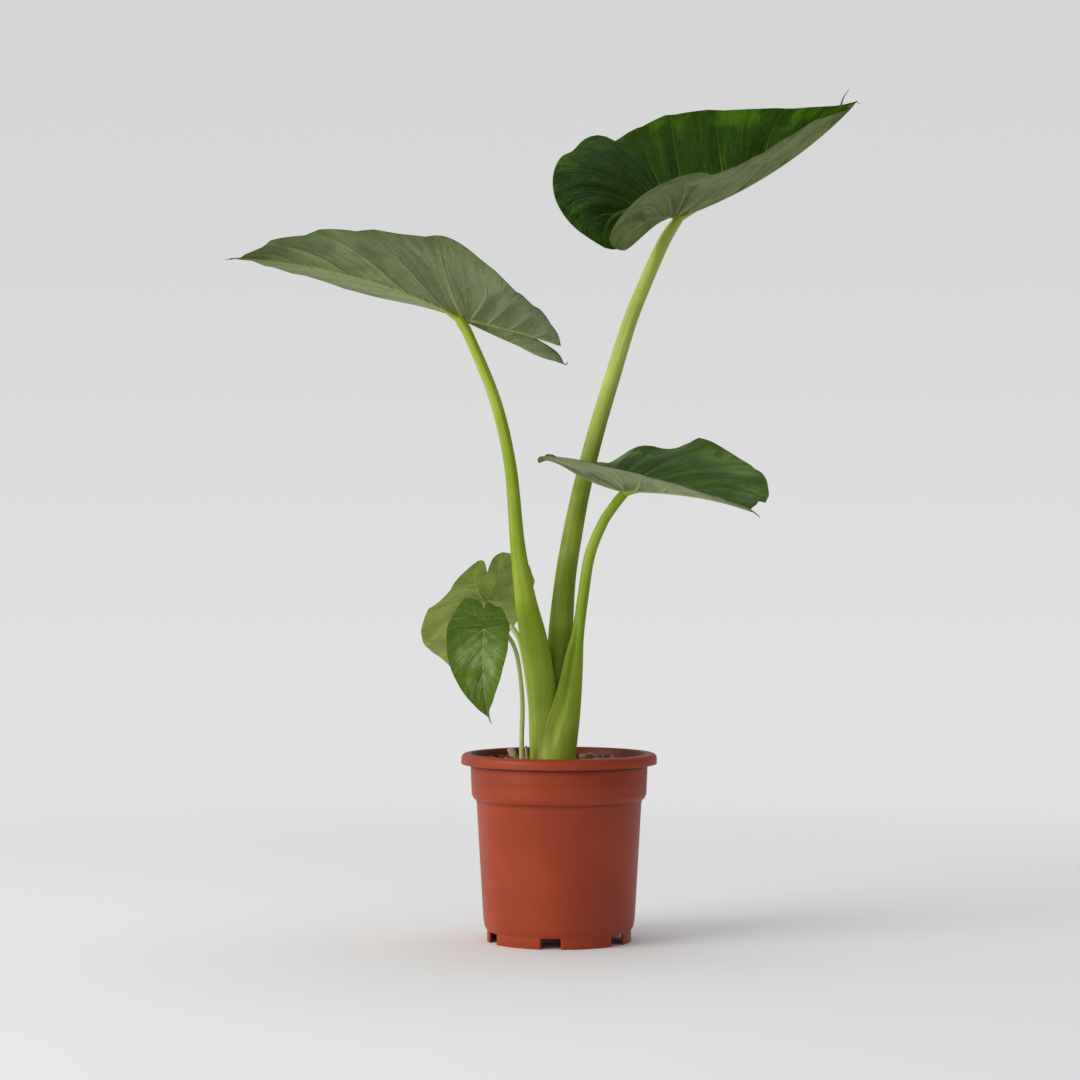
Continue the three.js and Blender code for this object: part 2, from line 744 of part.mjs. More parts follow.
for (const [name, leaf] of Object.entries(LEAVES)) {
  let stalk = stem(name)
    .subtract(solidOf(bladeGeometry(leaf, GAP)))
    .subtract(solidOf(aboveBlade(leaf)))
    .subtract(cormRoom);
  for (const inside of SHEATHS_INSIDE[name]) stalk = stalk.subtract(stem(inside, GAP));
  addPiece(`petiole_${name}`, geometryOf(withoutScraps(stalk)), leaf.young ? YOUNG_STALK_COLOUR : STALK_COLOUR, 0.5);
  addPiece(`blade_${name}`, bladeGeometry(leaf), leaf.young ? YOUNG_BLADE_COLOUR : BLADE_COLOUR, 0.45);
}

for (const name of Object.keys(STUBS)) {
  addPiece(`stub_${name}`, geometryOf(stub(name).subtract(cormRoom)), DRY_COLOUR, 0.9);
}

export default plant;
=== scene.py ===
import math
import random
from dataclasses import dataclass
from functools import partial

import bmesh
import bpy
import numpy as np
from bpy.props import FloatProperty, FloatVectorProperty, IntProperty, PointerProperty
from mathutils import Matrix, Vector


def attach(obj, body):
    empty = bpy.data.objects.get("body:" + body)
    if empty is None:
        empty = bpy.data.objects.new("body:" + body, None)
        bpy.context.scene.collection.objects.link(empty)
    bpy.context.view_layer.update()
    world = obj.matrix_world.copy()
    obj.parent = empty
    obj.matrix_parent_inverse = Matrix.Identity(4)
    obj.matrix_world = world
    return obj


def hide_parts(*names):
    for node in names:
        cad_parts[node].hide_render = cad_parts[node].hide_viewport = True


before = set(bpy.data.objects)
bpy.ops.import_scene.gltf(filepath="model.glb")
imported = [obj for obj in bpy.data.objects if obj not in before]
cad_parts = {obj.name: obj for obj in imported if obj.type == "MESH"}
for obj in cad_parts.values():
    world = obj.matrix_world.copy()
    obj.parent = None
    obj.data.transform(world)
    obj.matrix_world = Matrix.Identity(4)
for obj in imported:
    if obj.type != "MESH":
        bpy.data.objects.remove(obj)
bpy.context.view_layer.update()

bl_info = {
    "name": "Potted alocasia",
    "version": (1, 0, 0),
    "blender": (4, 5, 0),
    "location": "3D view > Sidebar > Alocasia",
    "description": "Builds the leaves, stalks, pot and soil of a young potted alocasia on its packed frame",
    "category": "Object",
}

MM = 0.001
BODY = "root"


def linear(hex_code):
    """A hex sRGB colour as the linear RGBA that Blender's sockets take."""
    channels = [int(hex_code[i : i + 2], 16) / 255 for i in (1, 3, 5)]
    return tuple(c / 12.92 if c <= 0.04045 else ((c + 0.055) / 1.055) ** 2.4 for c in channels) + (1.0,)


# ------------------------------------------------------------------ what a user would change


def colour_property(name, description, hex_code):
    return FloatVectorProperty(
        name=name, description=description, default=linear(hex_code), subtype="COLOR", size=4, min=0, max=1
    )


def length_property(name, description, millimetres):
    length = {"default": millimetres * MM, "min": 0, "unit": "LENGTH", "subtype": "DISTANCE"}
    return FloatProperty(name=name, description=description, **length)


class AlocasiaLeafSettings(bpy.types.PropertyGroup):
    thickness: length_property("Blade thickness", "Thickness of a big blade between its veins", 0.9)
    puff: length_property("Puff", "How far a big blade swells between two side veins", 4.2)
    upper: colour_property("Upper side", "Colour of a grown leaf seen from above", "#28470A")
    # Painted light: the upper side's lighter patches stand in for light coming through the blade near its
    # margin.
    upper_painted_glow: colour_property("Upper patches", "Lighter patches of the upper side", "#4C7A10")
    under: colour_property("Underside", "Colour of a grown leaf seen from below", "#95A56B")
    vein: colour_property("Veins", "Colour of the veins", "#A9B966")
    young_upper: colour_property("Young upper side", "Colour of a young leaf seen from above", "#768E36")
    young_under: colour_property("Young underside", "Colour of a young leaf seen from below", "#E6F48A")
    stalk: colour_property("Stalks", "Colour of the leaf stalks", "#8BA61F")
    young_stalk: colour_property("Young stalks", "Colour of the two slender stalks", "#AEBE5C")


class AlocasiaPotSettings(bpy.types.PropertyGroup):
    plastic: colour_property("Plastic", "Colour of the moulded pot", "#A03D1C")
    edge_rounding: length_property("Edge rounding", "Radius of the moulded edges", 0.7)
    bark: colour_property("Bark", "Colour of the potting bark", "#9E6244")
    bark_chips: IntProperty(name="Bark chips", description="Loose chips on the soil", default=240, min=0)
    straw: colour_property("Dry stalks", "Colour of the dry stalk stubs", "#D6CBA4")


class AlocasiaStageSettings(bpy.types.PropertyGroup):
    floor: colour_property("Floor", "Colour of the studio floor", "#FBFBFB")
    backdrop: colour_property("Backdrop", "Colour that the camera sees behind the plant", "#DCDCDC")
    key_power: FloatProperty(name="Key light", description="Power of the key light", default=91, unit="POWER")
    fill: FloatProperty(name="Fill", description="Strength of the light from all sides", default=0.5, min=0)


# ------------------------------------------------------------------ numbers and curves


def lerp(a, b, t):
    return a + (b - a) * t


def smooth_value(values, t):
    """Passes smoothly through the listed values, from the first at t 0 to the last at t 1."""
    values = np.asarray(values, float)
    last = len(values) - 1
    t = np.clip(t, 0, 1) * last
    i = np.minimum(np.floor(t).astype(int), last - 1)
    u = t - i
    if values.ndim > 1:
        u = u[..., None]
    before, start, end, after = (values[np.clip(i + k, 0, last)] for k in (-1, 0, 1, 2))
    leave = (end - before) / 2
    arrive = (after - start) / 2
    bend = 2 * (start - end) + leave + arrive
    return bend * u**3 + (3 * (end - start) - 2 * leave - arrive) * u**2 + leave * u + start


def length_of(vectors):
    return np.sqrt((vectors**2).sum(-1))


# ------------------------------------------------------------------ the plant's measures, in millimetres

# Half a flat blade: 1 at the tip, 0 at the stalk and -1 at the end of the lobe, then half widths across.
TIP = [(1, 0), (0.94, 0.026), (0.82, 0.26), (0.62, 0.58)]
FLANK = [(0.38, 0.84), (0.12, 0.98), (-0.26, 1)]
LOBE_END = (-1, 0.4)
HALF_OUTLINE = [*TIP, *FLANK, (-0.66, 0.86), (-0.93, 0.62), LOBE_END]
SINUS = [(0, 0), (-0.26, 0.04), (-0.64, 0.09), (-0.93, 0.22), LOBE_END]
LOBE_BEND = (-0.43, 0.28)
MIDRIB_SHARE = 0.53  # the share of a half's veins that leave the midrib, the rest leave the lobe rib

# Where the side veins leave the rib and reach the margin, as stations from the tip 0 to the lobe end 1.
GROWN_VEINS = np.array(
    [
        (0, 0.15, 0.25, 0.344, 0.443, 0.506, MIDRIB_SHARE, 0.575, 0.66, 0.76, 0.87, 1),
        (0, 0.05, 0.10, 0.175, 0.27, 0.35, 0.465, 0.56, 0.65, 0.745, 0.86, 1),
    ]
)
TALL_VEINS = np.array(
    [
        (0, 0.14, 0.26, 0.38, 0.445, 0.51, MIDRIB_SHARE, 0.565, 0.63, 0.72, 0.84, 1),
        (0, 0.08, 0.16, 0.26, 0.395, 0.49, 0.56, 0.665, 0.735, 0.80, 0.89, 1),
    ]
)
YOUNG_VEINS = np.array(
    [(0, 0.2, 0.36, 0.47, MIDRIB_SHARE, 0.62, 0.78, 1), (0, 0.1, 0.22, 0.36, 0.5, 0.62, 0.78, 1)]
)
FIRST_LOBE_VEIN = {False: 6, True: 4}  # by whether the leaf is young: its first side vein on the lobe rib
STEP_SHARES = np.array([0, 0.25, 0.4, 1, 0.8, 0.9, 0.3, 0.4, 0.2, 0.3, 0.2, 0.1])  # of margin_step, by gap


@dataclass
class Leaf:
    """One leaf blade, in millimetres and degrees. Pairs of values are for its left and its right half."""

    root: tuple  # where the stalk meets the blade
    length: float  # of the midrib from there to the tip
    half_width: float  # a share of the length
    lobe: float  # how far the lobes reach back, a share of the length
    heading: tuple  # of the midrib at the stalk, and how far it turns towards the tip
    pitch: tuple  # of the midrib at the stalk, its bend towards the tip, and the lobes'
    roll: tuple  # about the midrib at the stalk, and its twist towards the tip
    folds: tuple  # how far each half is raised at the stalk, at the tip and at the lobe
    ripples: tuple  # heights of each margin, from near the tip round to near the lobe's end
    rib: float  # width of the midrib
    veins: np.ndarray
    margin_step: tuple  # how far each margin steps where a side vein ends
    sinus: float = 1.0  # width of the strips beside the notch between the lobes
    sinus_lift: tuple = (0, 0)  # how far those strips curl up
    curls: tuple = ()  # where a margin curls down: half, station, its width, depth, share of the way out
    young: bool = False


LEAVES = {
    "left": Leaf(
        root=(-92, -30, 603),
        length=243,
        half_width=0.57,
        lobe=0.42,
        heading=(194, 18),
        pitch=(26, -29, 4),
        roll=(9, 13),
        folds=((2, 12, 17), (17, 21, -3)),
        ripples=((1, 2, -2, -6, 4, -3, -2, 3, 1), (1, 1, -0.5, -2.5, -6, -0.5, 3, -2, 0)),
        rib=2.6,
        veins=GROWN_VEINS,
        margin_step=(6, 2),
        sinus=1.15,
        sinus_lift=(10, 13),
    ),
    "tall": Leaf(
        root=(117, 75, 712),
        length=226,
        half_width=0.6,
        lobe=0.3,
        heading=(16, -10),
        pitch=(19, 27, -58),
        roll=(10, 6),
        folds=((31, 57, 114), (20, 33, 54)),
        ripples=((4, -1, -4, 0, 7, 4, -19, -18, -4), (0, 1, 3.5, 3, 2, 2, -11, -14, -4)),
        rib=2.6,
        veins=TALL_VEINS,
        margin_step=(4, 2),
        curls=((1, 0.675, 0.018, 6, 0.8), (1, 0.6, 0.012, 4, 0.9)),
    ),
    "right": Leaf(
        root=(63, 0, 438),
        length=210,
        half_width=0.55,
        lobe=0.36,
        heading=(-47, -19),
        pitch=(-1, -11, 31),
        roll=(-9, -5),
        folds=((35, 8, 17), (8, -3, 15)),
        ripples=((0, 4, -3, 0, -5, 2, 0, 9, -6), (2, 3, 3, 0, -2, -3, -5, -6, -4)),
        rib=2.4,
        veins=GROWN_VEINS,
        margin_step=(4.5, 1.5),
        sinus=1.6,
        curls=((-1, 0.74, 0.1, 8, 0.72),),
    ),
    "small_front": Leaf(
        root=(-72, -60, 304),
        length=101,
        half_width=0.36,
        lobe=0.28,
        heading=(-97, 25),
        pitch=(-69, 25, 44),
        roll=(8, 3),
        folds=((33, 45, 22), (2, 16, -6)),
        ripples=((4, 2, 1, 0, -1, -2, -1, 4, -1), (-1, -2, -2, -1, -1, -1, -1, 1, 2)),
        rib=1.2,
        veins=YOUNG_VEINS,
        margin_step=(1.2, 1.2),
        young=True,
    ),
    "small_back": Leaf(
        root=(-74, 55, 329),
        length=119,
        half_width=0.57,
        lobe=0.4,
        heading=(105, 0),
        pitch=(-58, 15, 20),
        roll=(-5, 7),
        folds=((-15, 29, -41), (25, 37, 33)),
        ripples=((0, 1, 3, -1, -1, 1, -2, 1, 0), (0, 0, 0, 0, 3, 0, 2, 1, -1)),
        rib=1.3,
        veins=YOUNG_VEINS,
        margin_step=(4.5, 4.5),
        young=True,
    ),
}

# Each stalk from the corm up: x, y, z, half width across the view and half depth along it.
STALKS = {
    "tall": [
        (-5, 6, 124, 11, 11),
        (-3, 7, 178, 11, 11),
        (0, 11, 243, 12.2, 10.5),
        (1.5, 15, 291, 12.2, 10.5),
        (6, 22, 349, 10.3, 9.8),
        (13.9, 29, 396, 9.6, 9.2),
        (23.3, 36, 443, 8.8, 8.6),
        (35.8, 43, 491, 8.2, 8),
        (64.2, 57, 586, 7.4, 7.2),
        (81.8, 64, 634, 6.8, 6.8),
        (103.3, 71, 683, 6.2, 6.4),
    ],
    "left": [
        (-9, 2, 124, 15, 13),
        (-11.7, 0, 178, 16.5, 14),
        (-16.6, -2, 243, 14.3, 11.5),
        (-24.4, -5, 292, 13.2, 9.5),
        (-32.6, -8, 331, 10.4, 8.2),
        (-39.6, -12, 380, 7.4, 7),
        (-46.9, -18, 458, 6, 6),
        (-60, -23, 519, 5.6, 5.6),
        (-84.4, -29, 580, 5, 5),
    ],
    "right": [
        (-3, -6, 124, 17, 11),
        (-3, -8, 174, 19.2, 13),
        (2, -8, 197, 16.2, 12),
        (5.8, -8, 215, 14.2, 10.8),
        (10.6, -8, 244, 11.4, 9),
        (14.6, -6, 273, 8.8, 7.4),
        (18.4, -4, 297, 6, 6),
        (22.8, -2, 331, 5.4, 5.4),
        (29.6, -1, 373, 5.3, 5.3),
        (42, 0, 404, 4.9, 5),
        (52, 0, 420, 4.7, 4.7),
    ],
    "small_front": [
        (-31, -17, 104, 2.6, 2.6),
        (-36, -22, 178, 2.4, 2.4),
        (-35.6, -24, 229, 2.3, 2.3),
        (-37.9, -28, 261, 2.1, 2.1),
        (-42, -34, 283, 2.1, 2.1),
        (-50, -42, 298, 2.1, 2.1),
        (-61, -52, 305, 2, 2),
    ],
    "small_back": [
        (-20, 28, 104, 2.8, 2.8),
        (-22.4, 28, 174, 2.7, 2.7),
        (-28.3, 29, 232, 2.6, 2.6),
        (-36.2, 31, 283, 2.5, 2.5),
        (-45, 36, 302, 2.5, 2.5),
        (-58, 45, 318, 2.4, 2.4),
    ],
}

STUBS = {
    "left": [
        (-34, 2, 108, 3.2, 3),
        (-38, -4, 150, 3.2, 3),
        (-42, -7, 172, 3.4, 2.6),
        (-47, -8, 187, 3.8, 1.8),
    ],
    "mid": [
        (-23, -25, 108, 1.6, 1.6),
        (-28, -19, 150, 1.6, 1.6),
        (-31, -15, 176, 1.6, 1.4),
        (-32, -16, 190, 1, 0.8),
    ],
}

# Dry threads at the tips of the blades: x, y, z and the radius.
TIP_THREADS = {
    "tall": [
        [
            (284.6, 112.8, 825.4, 1.1),
            (287.4, 112.4, 834.5, 0.7),
            (290, 112, 839, 0.45),
            (293.5, 111.5, 844, 0.2),
        ],
        [(300.5, 111.8, 832, 0.4), (303.2, 111.6, 829.6, 0.25), (305.4, 111.2, 829.8, 0.12)],
    ],
    "left": [
        [(-305, -121, 650.6, 0.7), (-308.5, -122.8, 650.6, 0.4), (-312, -124.4, 649.8, 0.15)],
        [(3.2, 33, 563.4, 0.8), (6.4, 33.2, 561.6, 0.55), (8.4, 33.2, 562.6, 0.4), (8.2, 33, 564.8, 0.2)],
    ],
    "right": [
        [
            (176.4, -171.6, 415, 0.8),
            (179.2, -174, 412.6, 0.55),
            (181.4, -175, 411, 0.4),
            (181.8, -175, 408.6, 0.2),
        ]
    ],
    "small_front": [[(-65.7, -114, 222.4, 0.8), (-65, -114.8, 219.6, 0.5), (-63.2, -115, 217.2, 0.2)]],
}

SOIL_LEVEL = 170
SOIL_RADIUS = 84
LUMPS = 140
FIBRES = 110
STALKS_MIDDLE = -5  # x of the middle of the stalks at the soil, which no chip lies on

FOOT_INNER = 67.8
FOOT_OUTER = 70
NOTCH_HEIGHT = 10.5
NOTCH_COUNT = 6  # and as many drain holes
NOTCH_PITCH = 360 / NOTCH_COUNT  # degrees
NOTCH_AZIMUTH = -97  # degrees, the middle of the first notch and of the first drain hole
NOTCH_HALF_WIDTH = 8  # degrees
DRAIN_REACH = 55  # from the axis to the middle of a hole
DRAIN_RADIUS = 5
BASE_UNDER = (FOOT_INNER, 11.5)
BASE_TOP = (69.4, 13)
RIM_UNDER = 172
RIM_RADIUS = 95
POT_HEIGHT = 182
POT_SEGMENTS = 180

# The pot's section, from under the base round the foot, up the outside and down the inside, as radius and
# height. The third number is 1 where the mould rounds an edge.
POT_PROFILE = [
    (*BASE_UNDER, 0),
    (FOOT_INNER, NOTCH_HEIGHT, 0),
    (FOOT_INNER, 0, 1),
    (FOOT_OUTER, 0, 1),
    (FOOT_OUTER, NOTCH_HEIGHT, 0),
    (FOOT_OUTER, 11, 0),
    (71.5, 13, 1),
    (72.6, 15.5, 1),
    (73.8, 24.5, 1),
    (80, 133, 0),
    (80.8, 137, 1),
    (83, 138.6, 1),
    (84.5, 141.5, 1),
    (85, 143.5, 1),
    (86, 170, 0),
    (86.2, 180.2, 0),
    (93.3, 180.2, 0),
    (93.3, RIM_UNDER, 1),
    (RIM_RADIUS, RIM_UNDER, 1),
    (RIM_RADIUS, 177.6, 1),
    (94.4, 179.8, 1),
    (93, 181.3, 1),
    (90.8, POT_HEIGHT, 1),
    (85.8, POT_HEIGHT, 1),
    (84.8, 181, 0),
    (84.6, 170, 0),
    (83.6, 143.5, 0),
    (81.6, 139.4, 0),
    (79, 137.6, 0),
    (78.6, 133, 0),
    (72.4, 24.5, 0),
    (70.8, 15.5, 0),
    (*BASE_TOP, 0),
]


# ------------------------------------------------------------------ shared mesh work


def finished(name, bm, materials, slot, *nodes):
    """Turns bm into an object that rides on the frame and stands for the given CAD nodes."""
    mesh = bpy.data.meshes.new(name)
    bm.to_mesh(mesh)
    bm.free()
    for material in materials:
        mesh.materials.append(material)
    piece = bpy.data.objects.new(name, mesh)
    bpy.context.scene.collection.objects.link(piece)
    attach(piece, BODY)
    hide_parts(*nodes)
    return piece


def shade_smooth(faces):
    for face in faces:
        face.smooth = True


def add_tube(bm, around, along, place, size, material=0):
    """A grid rolled into a closed tube. place(turn, share) gives its points, size its UV size in metres."""
    uv = bm.loops.layers.uv.verify()
    verts = bmesh.ops.create_grid(bm, x_segments=around, y_segments=along, size=0.5, calc_uvs=True)["verts"]
    turn = np.array([v.co.x + 0.5 for v in verts])
    share = np.array([v.co.y + 0.5 for v in verts])
    for vert, point in zip(verts, place(turn, share) * MM):
        vert.co = point
    faces = {face for vert in verts for face in vert.link_faces}
    for face in faces:
        face.material_index = material
        for loop in face.loops:
            loop[uv].uv = (loop[uv].uv.x * size[0], loop[uv].uv.y * size[1])
    shade_smooth(faces)
    bmesh.ops.remove_doubles(bm, verts=verts, dist=1e-3 * MM)
    rims = {edge for face in faces if face.is_valid for edge in face.edges if edge.is_boundary}
    for face in bmesh.ops.holes_fill(bm, edges=list(rims), sides=0)["faces"]:
        face.material_index = material
    return [face for face in faces if face.is_valid]


def stem_points(stations, turn, share, swell=None):
    """Points on an oval stem through its stations. swell(angle, z) adds to the radius, in millimetres."""
    stations = np.array(stations, float)
    centre = smooth_value(stations[:, :3], share)
    step = 1e-3
    ahead = smooth_value(stations[:, :3], np.minimum(share + step, 1))
    behind = smooth_value(stations[:, :3], np.maximum(share - step, 0))
    tangent = ahead - behind
    tangent /= length_of(tangent)[:, None]
    wide = np.cross([0, 1, 0], tangent)
    wide /= length_of(wide)[:, None]
    deep = np.cross(tangent, wide)
    angle = 2 * np.pi * turn
    extra = swell(angle, centre[:, 2]) if swell else 0
    sideways = (smooth_value(stations[:, 3], share) + extra) * np.cos(angle)
    back = (smooth_value(stations[:, -1], share) + extra) * np.sin(angle)
    return centre + wide * sideways[:, None] + deep * back[:, None]


def add_stem(bm, stations, around, along, material=0, swell=None):
    stations = np.array(stations, float)
    length = length_of(np.diff(stations[:, :3], axis=0)).sum()
    girth = 2 * np.pi * stations[:, 3].mean()
    place = lambda turn, share: stem_points(stations, turn, share, swell)
    return add_tube(bm, around, along, place, (girth * MM, length * MM), material)


# ------------------------------------------------------------------ leaf blades


def lobe_rib(share):
    share = share[..., None]
    return 2 * share * (1 - share) * LOBE_BEND + share**2 * LOBE_END


def lobe_share(s):
    """The stations of a half's outer panel as stations of its lobe alone."""
    return np.clip((s - MIDRIB_SHARE) / (1 - MIDRIB_SHARE), 0, 1) ** 1.1


def lobes_apart(s):
    """The lobes of a young blade have grown together: 0 where they are one, up to 1 at their ends."""
    return np.clip((s - 0.5) / 0.5, 0, 1) ** 0.7


def rib_and_edge(leaf, panel, s):
    """The flat points at station s on the rib and on the margin, or on the sinus between the lobes."""
    if panel == "sinus":
        edge = smooth_value(SINUS, s)
        edge[..., 1] *= lobes_apart(s) if leaf.young else lerp(1, leaf.sinus, np.sin(np.pi * s))
        return lobe_rib(s), edge
    on_midrib = np.stack([1 - np.minimum(s / MIDRIB_SHARE, 1) ** 1.6, 0 * s], -1)
    rib = np.where((s <= MIDRIB_SHARE)[..., None], on_midrib, lobe_rib(lobe_share(s)))
    return rib, smooth_value(HALF_OUTLINE, s)


def flat_points(leaf, panel, s, r):
    rib, edge = rib_and_edge(leaf, panel, s)
    flat = lerp(rib, edge, r[..., None])
    flat[..., 0] -= 0.07 * r * (1 - r) * np.abs(edge[..., 1] - rib[..., 1])
    return flat


def to_flat_mm(leaf, flat):
    along = flat[..., 0] * leaf.length * np.where(flat[..., 0] < 0, leaf.lobe, 1)
    return np.stack([along, flat[..., 1] * leaf.half_width * leaf.length], -1)


def midrib_frames(leaf, a):
    """Origins, left and up directions of the midrib at a: 1 is the tip, 0 the stalk, -1 the lobe end."""
    first_heading, turn = leaf.heading
    first_pitch, tip_bend, lobe_bend = leaf.pitch
    first_roll, twist = leaf.roll
    reach = leaf.length * np.where(a < 0, leaf.lobe, 1)
    bend = np.where(a < 0, lobe_bend, tip_bend)

    def along(t, bend):
        heading = np.radians(first_heading + turn * t)
        pitch = np.radians(first_pitch + bend * t)
        return np.stack([np.cos(heading) * np.cos(pitch), np.sin(heading) * np.cos(pitch), np.sin(pitch)], -1)

    steps = 24
    shares = (np.arange(steps) + 0.5) / steps
    path = along(a[..., None] * shares, bend[..., None])
    origin = leaf.root + path.sum(-2) * (reach * a / steps)[..., None]
    heading = np.radians(first_heading + turn * a)
    level = np.stack([-np.sin(heading), np.cos(heading), 0 * heading], -1)
    upright = np.cross(along(a, bend), level)
    roll = np.radians(first_roll + twist * a)[..., None]
    left = level * np.cos(roll) + upright * np.sin(roll)
    up = upright * np.cos(roll) - level * np.sin(roll)
    return origin, left, up


def blade_points(leaf, side, panel, s, r, vein_place, puff):
    """Points of the middle of the bent blade, in millimetres. side is 1 on its left half, -1 on its right."""
    half = 0 if side > 0 else 1
    flat = flat_points(leaf, panel, s, r)
    a = flat[..., 0]
    origin, left, up = midrib_frames(leaf, a)
    at_root, at_tip, at_lobe = leaf.folds[half]
    fold = np.where(a < 0, lerp(at_root, at_lobe, -a), lerp(at_root, at_tip, np.maximum(a, 0) ** 1.3))
    fold = np.radians(fold)[..., None]
    out = (flat[..., 1] * leaf.half_width * leaf.length)[..., None]
    points = origin + side * left * out * np.cos(fold) + up * out * np.sin(fold)
    if panel == "sinus":
        points[..., 2] += leaf.sinus_lift[half] * np.sin(np.pi * s) * r**1.3
        return points
    # The blade swells between two side veins, less where it is narrow, and its margin steps at each of them.
    normal = up * np.cos(fold) - side * left * np.sin(fold)
    rib, edge = (to_flat_mm(leaf, ends) for ends in rib_and_edge(leaf, panel, s))
    swelling = np.sin(np.pi * vein_place) ** 2 * np.sin(np.pi * np.minimum(1, 1.15 * r)) ** 1.5
    swelling *= np.clip(length_of(edge - rib) / 50, 0, 1)
    points += normal * (puff * leaf.length / 240 * swelling)[..., None]
    gap = np.floor(vein_place).astype(int)
    step = np.interp(vein_place - gap, (0, 0.14, 0.86, 1), (0, 0.38, -0.38, 0))
    points += normal * (leaf.margin_step[half] * STEP_SHARES[gap] * step * r**5)[..., None]
    points[..., 2] += smooth_value([0, *leaf.ripples[half], 0], s) * r**2
    for curled_side, station, width, drop, start in leaf.curls:
        if curled_side == side:
            depth = drop * np.exp(-(((s - station) / width) ** 2))
            points[..., 2] -= depth * np.clip((r - start) / (1 - start), 0, 1) ** 1.5
    return points


def vein_lines(leaf):
    """Places along the veins' count: close together beside each vein, wider apart between two."""
    per_gap = 8 if leaf.young else 12
    share = np.arange(per_gap) / per_gap
    eased = np.where(share < 0.5, 0.5 * (2 * share) ** 1.8, 1 - 0.5 * (2 * (1 - share)) ** 1.8)
    gaps = leaf.veins.shape[1] - 1
    return np.concatenate([*(eased + gap for gap in range(gaps)), [gaps]])


def station_of(leaf, vein_place, r):
    """The station of a point at vein_place along the veins' count and a share r of the way out."""
    gap = np.minimum(np.floor(vein_place).astype(int), leaf.veins.shape[1] - 2)
    share = vein_place - gap
    on_rib = lerp(leaf.veins[0][gap], leaf.veins[0][gap + 1], share)
    on_edge = lerp(leaf.veins[1][gap], leaf.veins[1][gap + 1], share)
    return lerp(on_rib, on_edge, r**0.85)


# The mesh lines of a panel, as shares of the way out from the rib: close together beside the rib.
ACROSS = np.array([0, 0.005, 0.011, 0.018, 0.027, 0.04, 0.058, *np.linspace(0.08, 0.95, 22), 0.972, 0.988, 1])
ACROSS_YOUNG = np.array([0, 0.01, 0.02, 0.035, 0.06, *np.linspace(0.1, 0.95, 14), 0.98, 1])
ACROSS_SINUS = np.array([0, 0.04, 0.09, 0.16, 0.28, 0.45, 0.65, 0.85, 1])

BLADE_MAPS = ("BladeMap", "VeinMap")  # the flat blade in metres, and its veins' count with the share r
KEPT_LAYERS = ("vein_gap", "rib_gap", "edge_gap")  # millimetres to the nearest side vein, rib and margin
SCRATCH_LAYERS = ("below", "above")  # half the thickness towards each face


def panel_values(leaf, panel, s, r, vein_place, flat, thickness):
    """What each vertex of a panel keeps: its gaps to veins, rib and margin, and the thickness there."""
    rib, edge = (to_flat_mm(leaf, ends) for ends in rib_and_edge(leaf, panel, s))
    reach = edge - rib
    step = 1e-3
    rib_ahead = to_flat_mm(leaf, rib_and_edge(leaf, panel, np.minimum(s + step, 1))[0])
    rib_run = rib_ahead - to_flat_mm(leaf, rib_and_edge(leaf, panel, np.maximum(s - step, 0))[0])
    crossed = np.abs(rib_run[:, 0] * reach[:, 1] - rib_run[:, 1] * reach[:, 0])
    rib_gap = r * (crossed / np.maximum(length_of(rib_run), 1e-6))
    edge_gap = (1 - r) * length_of(reach)
    if panel == "outer":
        on_vein = flat_points(leaf, panel, station_of(leaf, np.rint(vein_place), r), r)
        vein_gap = 0.85 * length_of(flat - to_flat_mm(leaf, on_vein))
        on_lobe = lerp(1, 0.15, (s - MIDRIB_SHARE) / 0.47)
        along_ribs = np.where(s < MIDRIB_SHARE, (s / MIDRIB_SHARE) ** 0.7, on_lobe)
    else:
        if leaf.young:
            edge_gap = edge_gap + 30 * (1 - np.clip(3 * lobes_apart(s), 0, 1))
        vein_gap = 0 * r + 20
        along_ribs = lerp(1, 0.15, s)
    # Ribs and side veins stand out below and a third as much above. The margin is thinner.
    rib_width = leaf.rib * (0.5 + 0.5 * along_ribs)
    ridge = leaf.rib * along_ribs * np.exp(-((rib_gap / rib_width) ** 2))
    vein_width = 0.42 * leaf.rib * (0.55 + 0.45 * (1 - r))
    side_ridge = 0.7 * leaf.rib * along_ribs * (1 - r) ** 0.7 * np.exp(-((vein_gap / vein_width) ** 2))
    ridge = np.maximum(ridge, side_ridge)
    half = thickness * leaf.rib / 2.6 / 2 * lerp(0.45, 1, np.clip(edge_gap / 3, 0, 1))
    values = {"vein_gap": vein_gap, "rib_gap": rib_gap, "edge_gap": edge_gap}
    return {**values, "below": half + ridge, "above": half - 0.34 * ridge}


